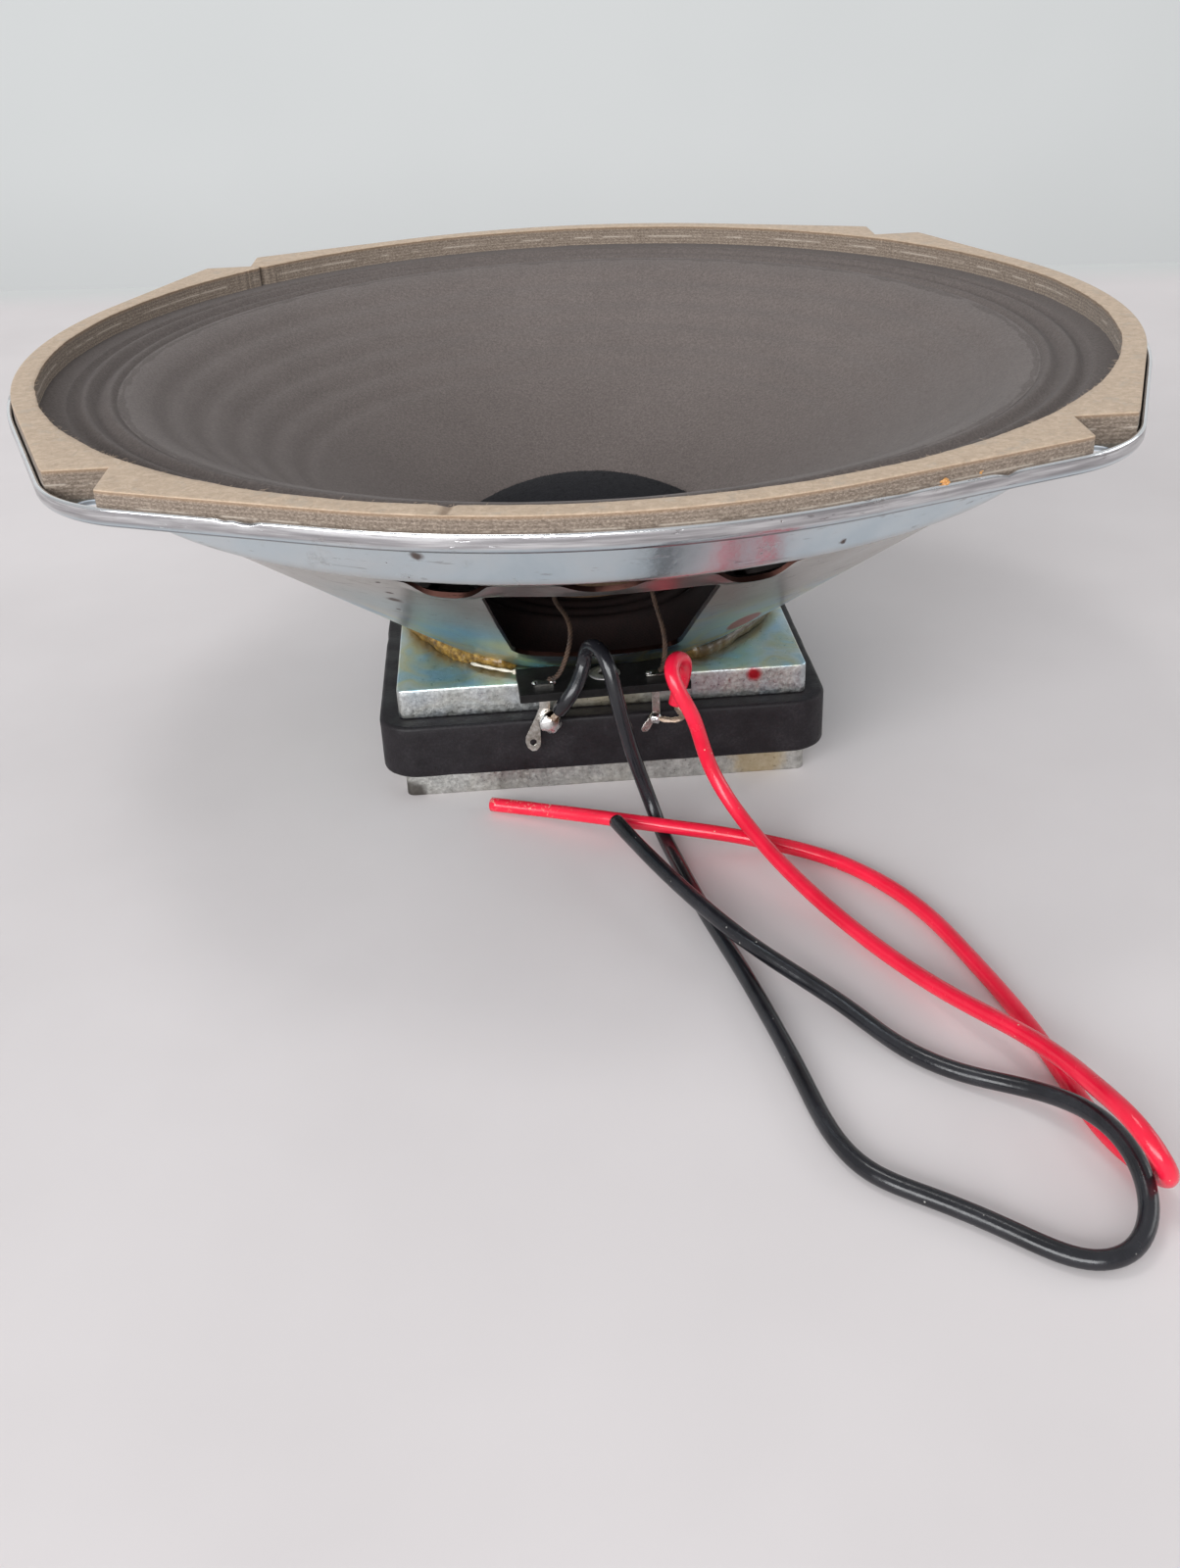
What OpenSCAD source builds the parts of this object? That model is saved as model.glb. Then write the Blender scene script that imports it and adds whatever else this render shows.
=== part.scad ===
/* [Rim] */
// Diameter over the turned-up lip, between the ears
rim_d = 203; // [196:1:210]
// How far an ear's tip stands out past the rim
ear_reach = 7; // [4:0.5:9]
// Radius of an ear's round tip
ear_tip_r = 25; // [18:1:30]
// Height of the turned-up lip, from the underside of the flange
lip_h = 3.1; // [2:0.1:5]
// Thickness of the basket's sheet steel
sheet = 0.8; // [0.6:0.1:1]
// Distance from an ear's tip to the middle of its mounting hole
hole_setback = 4.9; // [4.2:0.1:5.4]
// Diameter of a mounting hole
hole_d = 4.8; // [3.5:0.1:5]

/* [Basket] */
// Depth from the top plate to the underside of the flange
basket_depth = 49; // [46:1:54]
// Margin of the top plate round the basket's flat base
base_margin = 3.8; // [2.6:0.1:5]
// Diameter of the hole in the base
base_hole_d = 33; // [30:1:36]
// Width of the flange outside the upper wall
flange_w = 7.3; // [6.5:0.1:9]
// Run of the upper wall, from the step out to the flange
wall_run = 5.4; // [4:0.2:7]
// Width of the step between the sloping side and the upper wall
step_w = 4.8; // [3.6:0.2:6]
// Drop from the flange's underside to the top of the sloping side
side_top_drop = 11.4; // [10:0.2:14]
// Drop from the flange's underside to the outer edge of the step
step_drop = 9.2; // [7:0.2:9.6]
// Radius of the bends in the sheet, on the outside
bend_r = 2; // [1:0.25:2.5]
// Number of windows round the side
windows = 4; // [2:1:4]
// Run of the side from the base's edge out to a window's lower edge
window_low_gap = 9.7; // [7:0.1:14]
// Run of the side from a window's upper edge out to the step
window_high_gap = 5; // [4.4:0.2:12]
// Width of a window at its lower edge
window_low_w = 28; // [20:1:32]
// Width of a window at its upper edge
window_high_w = 37; // [30:1:44]
// Number of vents above each window
vents = 3; // [1:1:3]
// Angle from one vent to the next, in degrees
vent_pitch = 15.7; // [14:0.1:20]
// Length of a vent along the rim
vent_l = 15.5; // [10:0.5:17]
// Width of a vent across the step
vent_w = 6.8; // [4:0.2:7.4]
// Width of the tongue that carries the tag board
tongue_w = 12; // [8:1:16]

/* [Gasket] */
// Thickness of the gasket ring
gasket_t = 4.6; // [3:0.1:6]
// Width of the gasket's ring between the ears
gasket_w = 3.85; // [3:0.05:5]
// Gap from the flange's outline to the gasket
gasket_inset = 1.4; // [1:0.1:2]
// Width left between the gasket's opening and the corner of a notch
gasket_neck = 3.3; // [2.5:0.1:4]

/* [Magnet] */
// Width of the square plates
plate_w = 75; // [72:0.5:80]
// Thickness of the square plates
plate_t = 5.8; // [4:0.1:8]
// Radius of the plates' corners
plate_corner_r = 1.2; // [0.5:0.1:3]
// How far the square magnet stands out past the plates
magnet_overhang = 3.75; // [2:0.25:4.25]
// Thickness of the magnet
magnet_t = 10.4; // [9:0.2:14]
// Radius of the magnet's upright corners
magnet_corner_r = 8.5; // [4:0.5:12]
// Diameter of the hole in the magnet
magnet_bore_d = 36; // [32:1:44]
// Turn of the magnet and plates under the basket, in degrees
magnet_turn = 1.5; // [0:0.5:3]
// Diameter of the spigot that holds the pole piece
spigot_d = 14; // [10:1:18]

/* [Voice coil] */
// Inner diameter of the coil former
former_d = 25.4; // [24:0.2:26.4]
// Wall of the coil former
former_wall = 0.25; // [0.2:0.05:0.4]
// Thickness of the winding
winding_t = 0.55; // [0.4:0.05:0.6]
// Length of the winding
winding_l = 10; // [6:0.5:12]
// Clearance on each side of the former and winding in the gap
gap_clearance = 0.5; // [0.4:0.05:0.8]

/* [Cone] */
// Thickness of the cone paper
paper = 0.6; // [0.5:0.05:0.8]
// Width of the cone's corrugated edge, from the stiff cone to the gasket's opening
edge_w = 12.75; // [11.5:0.25:14]
// Width of the band where the cone's slope flattens
shoulder_w = 6; // [4.5:0.5:7]
// Drop from the top of the flange to the end of the straight slope
shoulder_drop = 2.5; // [2:0.1:3.4]
// Drop from the top of the flange to the rim of the stiff cone
cone_rim_drop = 0.5; // [0.2:0.1:0.8]
// Height of the cone's neck above the top plate
neck_rise = 10; // [9:0.1:12]
// Number of pressed rings in the cone
cone_rings = 5; // [0:1:6]
// Distance from the outermost pressed ring out to the flattening band
ring_gap = 1.9; // [1.4:0.1:4]
// Spacing of the pressed rings
ring_pitch = 5.8; // [4:0.2:6]
// Width of a pressed ring
ring_w = 2.8; // [1.6:0.2:3.6]
// Depth of a pressed ring
ring_depth = 0.5; // [0.2:0.1:0.8]
// Spacing of the rolls in the cone's edge
roll_pitch = 4.2; // [3:0.2:5]
// Height of a roll above and below the middle
roll_h = 0.6; // [0.3:0.1:0.8]
// Width of the paper rim clamped under the gasket
clamp_w = 2.75; // [2:0.05:3]
// Radius of the dust cap's dome
cap_sphere_r = 45.5; // [36:0.5:60]
// Diameter of the dust cap
cap_d = 48.6; // [44:0.2:52]
// Thickness of the dust cap
cap_t = 0.8; // [0.5:0.1:1.2]

/* [Spider] */
// Distance from the spider's rim out to the edge of the basket's base
spider_gap = 2.7; // [1.8:0.1:4]
// Height of the spider's corrugations above its foot
spider_rise = 5; // [4:0.5:5.5]
// Thickness of the spider cloth
spider_t = 0.5; // [0.4:0.1:0.7]
// Number of corrugations in the spider
spider_waves = 3; // [2:1:4]

/* [Terminals] */
// Width of the tag board
board_w = 30.4; // [26:0.2:34]
// Reach of the tag board past the magnet's front face
board_reach = 5.45; // [4.6:0.05:7]
// Thickness of the tag board
board_t = 1.6; // [1.2:0.1:2]
// Turn of the tag board on its rivet, in degrees
board_turn = 4; // [0:0.5:5]
// Distance from a tag to the end of the tag board
tag_margin = 5.2; // [3:0.1:6]
// Width of a tag
tag_w = 3; // [2.4:0.1:3.2]
// Thickness of a tag
tag_t = 0.5; // [0.3:0.1:0.6]
// Length of the left tag below the board
left_tag_l = 11.5; // [10:0.5:14]
// Length of the right tag below the board, to its bend
right_tag_l = 6.4; // [5:0.2:8]
// Diameter of the hollow rivet
rivet_d = 3.2; // [2.6:0.2:4]

/* [Leads] */
// Diameter of the insulated wires
wire_d = 2.6; // [2:0.1:3]
// Diameter of a tinsel lead
tinsel_d = 1; // [0.8:0.1:1.4]
// Diameter of the bare copper strands
strand_d = 1.2; // [0.8:0.1:1.6]

/* [Hidden] */
$fn = 96;
// Small gap between faces that lie against each other
fit = 0.05;
// Extra length of a cutter past the face that it cuts
past = 1;

// Heights, from the back plate's rear face
magnet_z = plate_t;
top_plate_z = magnet_z + magnet_t;
base_z = top_plate_z + plate_t;
flange_z = base_z + basket_depth;
seat_z = flange_z + sheet;
gasket_z = seat_z + gasket_t;

function unit(v) = v / norm(v);
function perp(v) = [-v.y, v.x];
function wrap(a) = a > 180 ? a - 360 : a < -180 ? a + 360 : a;
function reversed(list) = [for (i = [len(list) - 1:-1:0]) list[i]];

function heading(a) = [cos(a), sin(a)];

// Points of an arc of radius r round c, from angle a0 to a1
function arc(c, r, a0, a1, steps) = [for (i = [0:steps]) c + r * heading(a0 + (a1 - a0) * i / steps)];

// Arc that rounds the corner b of the path a, b, c
function rounded(a, b, c, r, steps) =
    let (u = unit(a - b), w = unit(c - b), half = acos(u * w) / 2)
    let (centre = b + unit(u + w) * r / sin(half), cut = r / tan(half))
    let (s = b + u * cut - centre, e = b + w * cut - centre)
    let (a0 = atan2(s.y, s.x), turn = wrap(atan2(e.y, e.x) - a0))
    arc(centre, r, a0, a0 + turn, steps);

// A path with all its inner corners rounded
function rounded_path(path, r, steps) = concat([path[0]],
    [for (i = [1:len(path) - 2]) each rounded(path[i - 1], path[i], path[i + 1], r, steps)],
    [path[len(path) - 1]]);

// The same path moved to its left by t
function beside(path, t) = [for (i = [0:len(path) - 1])
    let (before = i == 0 ? path[1] - path[0] : path[i] - path[i - 1])
    let (after = i == len(path) - 1 ? before : path[i + 1] - path[i])
    let (n = unit(perp(unit(before)) + perp(unit(after))))
    path[i] + n * t / (n * perp(unit(before)))];

// Basket: outline of the rim with its four ears, drawn in by inset
ear_span = rim_d + 2 * ear_reach;
hole_circle_d = ear_span - 2 * hole_setback;
ear_r = ear_span / 2;
ear_centre = ear_r - ear_tip_r;
ear_half = acos((rim_d / 2 - ear_tip_r) / ear_centre);
ear_blend = 3;
function ear_quarter(a, inset) = concat(
    arc(ear_centre * heading(a), ear_tip_r - inset, a - ear_half, a + ear_half, 8),
    arc([0, 0], rim_d / 2 - inset, a + ear_half + ear_blend, a + 90 - ear_half - ear_blend, 12));
function rim_outline(inset) = [for (a = [45:90:315]) each ear_quarter(a, inset)];

base_d = plate_w - 2 * base_margin;
base_r = base_d / 2;
wall_top_d = rim_d - 2 * flange_w;
step_d = wall_top_d - 2 * wall_run;
side_top_d = step_d - 2 * step_w;
side_top = [side_top_d / 2, flange_z - side_top_drop];
side_run = side_top - [base_r, base_z];
side_slope = side_run.y / side_run.x;
flange_lap = 2;
flange_inner_r = wall_top_d / 2 + flange_lap;
basket_path = rounded_path([[base_hole_d / 2, base_z], [base_r, base_z], side_top,
    [step_d / 2, flange_z - step_drop], [wall_top_d / 2, flange_z],
    [flange_inner_r + bend_r, flange_z]], bend_r, 3);
// Radius of the side's outer face at height z
function side_r(z) = base_r + (z - base_z) / side_slope;

module basket_shell() {
    rotate_extrude() polygon(concat(basket_path, reversed(beside(basket_path, sheet))));
}

// Rim: its bend is two sloped layers, each from one [height, inset] up to the next
rim_bend_r = 1.4;
rim_bend = rim_bend_r * [[0, 0.7], [0.3, 0.3], [0.8, 0]];
module rim_layer(low, high) {
    translate([0, 0, flange_z + low[0]])
        linear_extrude(high[0] - low[0], scale = (rim_d / 2 - high[1]) / (rim_d / 2 - low[1]))
            polygon(rim_outline(low[1]));
}

module rim() {
    difference() {
        union() {
            rim_layer(rim_bend[0], rim_bend[1]);
            rim_layer(rim_bend[1], rim_bend[2]);
            rim_layer(rim_bend[2], [lip_h, 0]);
        }
        translate([0, 0, seat_z]) linear_extrude(lip_h) polygon(rim_outline(sheet));
        translate([0, 0, flange_z - past]) cylinder(r = flange_inner_r, h = lip_h + 2 * past);
    }
}

// Window in plan: two arcs joined by slanting sides, with cut corners
window_low_d = base_d + 2 * window_low_gap;
window_high_d = side_top_d - 2 * window_high_gap;
window_cut = 3;
function half_angle(w, r) = asin(w / 2 / r);
module window_opening() {
    low_r = window_low_d / 2;
    high_r = window_high_d / 2;
    low_a = half_angle(window_low_w, low_r);
    high_a = half_angle(window_high_w, high_r);
    low_arc = arc([0, 0], low_r, 0, low_a - half_angle(window_cut, low_r), 3);
    high_arc = arc([0, 0], high_r, high_a - half_angle(window_cut, high_r), 0, 3);
    low_side = (low_r + window_cut) * heading(low_a);
    high_side = (high_r - window_cut) * heading(high_a);
    half = concat(low_arc, [low_side, high_side], high_arc);
    translate([0, 0, base_z + past]) linear_extrude(basket_depth - step_drop - past)
        polygon(concat(half, [for (p = reversed(half)) if (p.y > fit) [p.x, -p.y]]));
}

// Vent: a lens where two upright cylinders cross, over the step
vent_setback = 0.2;
vent_r = step_d / 2 - vent_setback - vent_w / 2;
vent_arc_r = (pow(vent_l, 2) + pow(vent_w, 2)) / vent_w / 4;
vent_z = flange_z - side_top_drop - vent_w;
module vent_opening() {
    reach = vent_arc_r - vent_w / 2;
    translate([vent_r, 0, vent_z]) intersection() {
        translate([-reach, 0, 0]) cylinder(r = vent_arc_r, h = 2 * vent_w);
        translate([reach, 0, 0]) cylinder(r = vent_arc_r, h = 2 * vent_w);
    }
}

// Terminals: the tongue, board and tags stand in front of the magnet's front face
rivet_setback = 5.9;
tongue_setback = 2.4;
tongue_root = 2;
magnet_w = plate_w + 2 * magnet_overhang;
board_front = -magnet_w / 2 - board_reach;
rivet_at = [1.2, board_front + rivet_setback];
board_shift = -0.4;
tongue_front = board_front + tongue_setback;
board_z = base_z + sheet;
board_top_z = board_z + board_t;

module tongue() {
    translate([-tongue_w / 2, tongue_front, base_z])
        cube([tongue_w, tongue_root - base_r - tongue_front, sheet]);
}

module basket() {
    color("lightsteelblue") difference() {
        union() {
            basket_shell();
            rim();
            tongue();
        }
        for (i = [0:windows - 1]) rotate(i * 360 / windows - 90) {
            window_opening();
            for (k = [0:vents - 1]) rotate((k - (vents - 1) / 2) * vent_pitch) vent_opening();
        }
        for (a = [45:90:315]) rotate(a) translate([hole_circle_d / 2, 0, flange_z - past])
            cylinder(d = hole_d, h = sheet + 2 * past);
        rivet_hole(base_z, sheet);
    }
}

module rivet_hole(z, h) {
    translate([rivet_at.x, rivet_at.y, z - past]) cylinder(d = rivet_d + 2 * fit, h = h + 2 * past);
}

// Gasket: a fibre ring that fills the rim and is notched square round each ear's hole
gasket_bore_d = rim_d - 2 * (gasket_inset + gasket_w);
notch_span = (gasket_bore_d + 2 * gasket_neck) / sqrt(2);
paper_rim_d = gasket_bore_d + 2 * clamp_w;
module gasket() {
    bore_h = gasket_t + 2 * past;
    color("tan") translate([0, 0, seat_z]) difference() {
        linear_extrude(gasket_t) polygon(rim_outline(gasket_inset));
        translate([0, 0, -past]) cylinder(d = gasket_bore_d, h = bore_h);
        translate([0, 0, -past]) cylinder(d = paper_rim_d + 2 * fit, h = paper + past);
        for (a = [0:90:270]) rotate(a) translate([notch_span / 2, notch_span / 2, -past])
            cube([ear_r, ear_r, bore_h]);
    }
}

// Magnet: ferrite block between two steel plates, with the pole piece up the middle
module rounded_block(w, r, z, h) {
    inner = w / 2 - r;
    rotate(magnet_turn) translate([0, 0, z]) linear_extrude(h)
        polygon([for (a = [0:90:270]) each arc(inner * sqrt(2) * heading(a + 45), r, a, a + 90, 8)]);
}

pole_r = former_d / 2 - gap_clearance;
former_r = former_d / 2 + former_wall;
winding_r = former_r + fit + winding_t;
gap_r = winding_r + gap_clearance;
spigot_recess = 0.4;

module bored_block(w, r, z, h, bore_r) {
    difference() {
        rounded_block(w, r, z, h);
        translate([0, 0, z - past]) cylinder(r = bore_r, h = h + 2 * past);
    }
}

module top_plate() {
    color("gainsboro") bored_block(plate_w, plate_corner_r, top_plate_z, plate_t, gap_r);
}

module magnet() {
    color("dimgray") bored_block(magnet_w, magnet_corner_r, magnet_z, magnet_t, magnet_bore_d / 2);
}

module back_plate() {
    color("gainsboro") bored_block(plate_w, plate_corner_r, 0, plate_t, spigot_d / 2 + fit);
}

module pole_piece() {
    chamfer = 0.6;
    color("silver") rotate_extrude() polygon([[0, spigot_recess], [spigot_d / 2, spigot_recess],
        [spigot_d / 2, magnet_z], [pole_r, magnet_z], [pole_r, base_z - chamfer],
        [pole_r - chamfer, base_z], [0, base_z]]);
}

// Glue: a bulging bead in the corner of the basket and the top plate, open where the board stands
bead_edge = 0.2;
bead_h = 2.5;
bead_bulge = 0.5;
bead_w = base_margin - bead_edge - bead_bulge;
bead_gap = 1.5;
board_clear = 0.3;
board_back_r = side_r(board_top_z) + board_clear;
bead_open = 2 * half_angle(board_w + 2 * bead_gap, board_back_r);
bead_turn = half_angle(2 * (rivet_at.x + board_shift), board_back_r);
module glue_bead() {
    top_z = base_z + bead_h;
    foot_r = base_r + bead_w;
    color("goldenrod") rotate(bead_open / 2 + bead_turn - 90) rotate_extrude(angle = 360 - bead_open)
        polygon([[base_r + fit, base_z], [foot_r, base_z], [foot_r + bead_bulge, base_z + bead_h / 3],
            [foot_r + bead_bulge, top_z - bead_bulge], [side_r(top_z) + fit, top_z]]);
}

// Spider: corrugated cloth from the basket's base to the coil former
spider_d = base_d - 2 * spider_gap;
spider_foot_w = 4;
spider_collar_h = 1.6;
spider_roll = 0.6;
module spider() {
    foot_z = board_z + spider_t / 2;
    wave_z = board_z + spider_rise - spider_roll;
    inner_r = former_r + fit + spider_t / 2;
    outer_r = spider_d / 2 - spider_foot_w - spider_rise / 2;
    steps = 8 * spider_waves;
    waves = [for (i = [0:steps]) [outer_r + (inner_r + spider_t - outer_r) * i / steps,
        wave_z + spider_roll * sin(360 * spider_waves * i / steps)]];
    path = concat([[spider_d / 2, foot_z], [spider_d / 2 - spider_foot_w, foot_z]], waves,
        [[inner_r, wave_z], [inner_r, wave_z - spider_collar_h]]);
    low = beside(path, spider_t / 2);
    high = beside(path, -spider_t / 2);
    color("burlywood") rotate_extrude() polygon(concat(low, reversed(high)));
}

// Voice coil: winding centred on the top plate's thickness, on a thin former a little longer
former_tail = 0.1;
cone_d = gasket_bore_d - 2 * edge_w;
shoulder_d = cone_d - 2 * shoulder_w;
neck_drop = seat_z - base_z - neck_rise;
cone_slope = (neck_drop - shoulder_drop) / (shoulder_d / 2 - former_r - fit);
cone_angle = atan(cone_slope);
neck_z = base_z + neck_rise;
former_low_z = top_plate_z + plate_t / 2 - winding_l / 2 - former_tail;

module tube_on_axis(r_in, r_out, z, h) {
    translate([0, 0, z]) difference() {
        cylinder(r = r_out, h = h);
        translate([0, 0, -past]) cylinder(r = r_in, h = h + 2 * past);
    }
}

module coil_former() {
    color("peru") tube_on_axis(former_d / 2, former_r, former_low_z, neck_z + 2 * paper - former_low_z);
}

module voice_coil() {
    color("chocolate") tube_on_axis(former_r + fit, winding_r, former_low_z + former_tail, winding_l);
}

// Cone: its mid-surface rises straight from the neck, with pressed rings, and flattens at the rim
neck_r = former_r + fit;
shoulder_r = shoulder_d / 2;
rim_run = cone_d / 2 - shoulder_r;
rim_sag = (cone_slope * rim_run - shoulder_drop + cone_rim_drop) / pow(rim_run, 2);
ring_d = shoulder_d - 2 * ring_gap;
ring_steps = 4;
function plain_cone(r) = r < shoulder_r ? neck_z + cone_slope * (r - neck_r)
    : seat_z - shoulder_drop + cone_slope * (r - shoulder_r) - rim_sag * pow(r - shoulder_r, 2);
function ring_r(i) = ring_d / 2 - (cone_rings - 1 - i) * ring_pitch;
function ring_dip(k) = ring_depth * (1 + cos(180 * k / ring_steps)) / 2;
half_paper = paper / 2 / cos(cone_angle);

rim_start_r = max(shoulder_r, ring_d / 2 + ring_w / 2);
cone_line = concat([[neck_r, plain_cone(neck_r)]],
    [for (i = [0:1:cone_rings - 1], k = [-ring_steps:ring_steps])
        let (r = ring_r(i) + k / ring_steps * ring_w / 2)
        [r, plain_cone(r) - ring_dip(k)]],
    [for (k = [0:4]) let (r = rim_start_r + (cone_d / 2 - rim_start_r) * k / 4) [r, plain_cone(r)]]);

module cone() {
    low = [for (p = cone_line) p - [0, half_paper]];
    high = [for (p = cone_line) p + [0, half_paper]];
    color("gray") rotate_extrude() polygon(concat(low, reversed(high)));
}

// Cone edge: two paper rolls and a flat rim, clamped between the flange and the gasket
edge_gap = 0.2;
edge_step = 0.8;
module cone_edge() {
    start_r = cone_d / 2 + edge_gap;
    start_z = seat_z - cone_rim_drop;
    rolls_end_r = start_r + 2 * roll_pitch;
    flat_z = seat_z + paper / 2;
    steps = 20;
    rolls = [for (i = [0:steps]) [start_r + 2 * roll_pitch * i / steps,
        start_z + (flat_z - start_z) * i / steps + roll_h * sin(720 * i / steps)]];
    line = concat(rolls, [[rolls_end_r + edge_step, flat_z], [paper_rim_d / 2, flat_z]]);
    low = [for (p = line) p - [0, paper / 2]];
    high = [for (p = line) p + [0, paper / 2]];
    color("dimgray") rotate_extrude() polygon(concat(low, reversed(high)));
}

// Dust cap: a felt dome whose foot follows the cone's slope
cap_r = cap_d / 2;
cap_rest_z = plain_cone(0) + half_paper + fit;
cap_centre_z = cap_rest_z + cone_slope * cap_r - sqrt(pow(cap_sphere_r, 2) - pow(cap_r, 2));
function dome_foot_r(s) = let (b = cap_rest_z - cap_centre_z, q = 1 + pow(cone_slope, 2))
    (sqrt(pow(cone_slope * b, 2) - q * (b * b - s * s)) - cone_slope * b) / q;
function dome(s) = arc([0, cap_centre_z], s, acos(dome_foot_r(s) / s), 90, 18);
module dust_cap() {
    color("black") rotate_extrude()
        polygon(concat(dome(cap_sphere_r), reversed(dome(cap_sphere_r - cap_t))));
}

// Lead joints: small lumps of cement under the cone, square to its slope
joint_h = 1;
joint_low_r = 1.2;
joint_top_r = 1.7;
left_joint_at = [-6.5, -34];
right_joint_at = [10, -34];
module lead_joint(at) {
    r = norm(at);
    translate([at.x, at.y, plain_cone(r) - half_paper]) rotate([0, 180 - cone_angle, atan2(at.y, at.x)])
        translate([0, 0, fit]) cylinder(r1 = joint_top_r, r2 = joint_low_r, h = joint_h);
}

module left_lead_joint() {
    color("darkgoldenrod") lead_joint(left_joint_at);
}

module right_lead_joint() {
    color("darkgoldenrod") lead_joint(right_joint_at);
}

// Tag board: turned a little on its rivet, its back cut round to clear the basket
tag_shift = -1.1;
tag_span = board_w - 2 * tag_margin;
tag_setback = 2.2;
tag_head = [tag_w + 0.4, 2];
module on_board() {
    translate([rivet_at.x, rivet_at.y, 0]) rotate(board_turn) children();
}

left_tag_x = tag_shift - tag_span / 2;
right_tag_x = tag_shift + tag_span / 2;
module tag_slot(x) {
    translate([x - tag_w / 2 - fit, -tag_setback - tag_t / 2 - fit, board_z - past])
        cube([tag_w + 2 * fit, tag_t + 2 * fit, board_t + 2 * past]);
}

module tag_board() {
    depth = rivet_setback + board_reach;
    color("darkslategray") difference() {
        on_board() difference() {
            translate([board_shift - board_w / 2, -rivet_setback, board_z]) cube([board_w, depth, board_t]);
            tag_slot(left_tag_x);
            tag_slot(right_tag_x);
        }
        translate([0, 0, board_z - past]) cylinder(r = board_back_r, h = board_t + 2 * past);
        rivet_hole(board_z, board_t);
    }
}

// Rivet: hollow, with a flange on the board and a rolled end under the tongue
rivet_flange_r = 2.9;
rivet_roll_r = 2.5;
rivet_bore_r = 1;
rivet_head_t = 0.5;
rivet_round = 0.25;
module tag_rivet() {
    r = rivet_d / 2;
    color("silver") translate([rivet_at.x, rivet_at.y, 0]) rotate_extrude()
        polygon([[rivet_bore_r, base_z - rivet_head_t], [rivet_roll_r, base_z - rivet_head_t],
            [rivet_roll_r, base_z], [r, base_z], [r, board_top_z], [rivet_flange_r, board_top_z],
            [rivet_flange_r - rivet_round, board_top_z + rivet_head_t / 2], [r, board_top_z + rivet_head_t],
            [rivet_bore_r + rivet_round, board_top_z + rivet_head_t], [rivet_bore_r, board_top_z]]);
}

// Tags: flat tin strips staked through the board, drawn from the front; the right one is
// narrow where it is twisted, below the board
tag_hole_d = 1.1;
tag_top_z = board_top_z + tag_t / 2;
module tag_face(outline) {
    translate([0, -tag_setback + tag_t / 2, 0]) rotate([90, 0, 0]) linear_extrude(tag_t) polygon(outline);
}

module tag_top() {
    translate([-tag_head.x / 2, -tag_setback - tag_head.y / 2, board_top_z])
        cube([tag_head.x, tag_head.y, tag_t]);
}

left_lean = 2.5;
module left_tag() {
    half = tag_w / 2;
    tip_z = board_z - left_tag_l;
    hole_z = tip_z + tag_w;
    color("lightgray") on_board() translate([left_tag_x, 0, 0]) {
        tag_top();
        difference() {
            tag_face([[-half, tag_top_z], [-half, board_z], [-half - left_lean, hole_z],
                [-left_lean, tip_z], [half - left_lean, hole_z], [half, board_z], [half, tag_top_z]]);
            translate([-left_lean, -tag_setback, hole_z]) rotate([90, 0, 0])
                cylinder(d = tag_hole_d, h = 2 * past, center = true);
        }
    }
}

right_tip = [-1.9, -3.2];
tip_cut = 0.6;
module right_tag() {
    half = tag_w / 2;
    waist = tag_w / 3;
    waist_z = board_z - tip_cut;
    bend_z = board_z - right_tag_l;
    tip_z = bend_z + right_tip.y;
    color("lightgray") on_board() translate([right_tag_x, 0, 0]) {
        tag_top();
        tag_face([[-half, tag_top_z], [-half, board_z], [-waist, waist_z], [-waist, bend_z],
            [right_tip.x - waist, tip_z + tip_cut], [right_tip.x + waist / 2, tip_z],
            [waist, bend_z - tip_cut], [waist, waist_z], [half, board_z], [half, tag_top_z]]);
    }
}

// Solder: blobs on the tags' sides, where the bare strands end
solder_drop = 6.9;
left_solder_r = 2.3;
left_solder_at = [left_tag_x + 0.7, -tag_setback - 0.7, board_z - 5.6];
module left_solder() {
    color("silver") on_board() translate(left_solder_at) sphere(r = left_solder_r);
}

right_solder_r = 1.2;
right_solder_at = [right_tag_x - 0.2, -tag_setback - 0.4, board_z - solder_drop];
module right_solder() {
    color("silver") on_board() translate(right_solder_at) sphere(r = right_solder_r);
}

// Points of a smooth curve that a route's points steer, with steps points to each stretch
function blend(a, b, c, d, t) = (pow(1 - t, 3) * a + (4 - 6 * pow(t, 2) + 3 * pow(t, 3)) * b
    + (1 + 3 * t + 3 * pow(t, 2) - 3 * pow(t, 3)) * c + pow(t, 3) * d) / 6;
function smooth(route, steps) =
    let (n = len(route), before = 2 * route[0] - route[1], after = 2 * route[n - 1] - route[n - 2])
    let (p = concat([before], route, [after]))
    concat([for (i = [0:n - 2], k = [0:steps - 1]) blend(p[i], p[i + 1], p[i + 2], p[i + 3], k / steps)],
        [route[n - 1]]);

// Cord: rings of points square to the curve, each turned as little as it can be from the last
cord_sides = 8;
cord_steps = 2;
function along(line, i) = unit(line[min(i + 1, len(line) - 1)] - line[max(i - 1, 0)]);
function across(v, last) = unit(last - (last * v) * v);
function ring_sides(line, i, last) = i == len(line) ? []
    : let (side = across(along(line, i), last)) concat([side], ring_sides(line, i + 1, side));
function ring(centre, v, side, r) = [for (k = [0:cord_sides - 1]) let (a = 360 * k / cord_sides)
    centre + r * (cos(a) * side + sin(a) * cross(v, side))];

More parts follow.
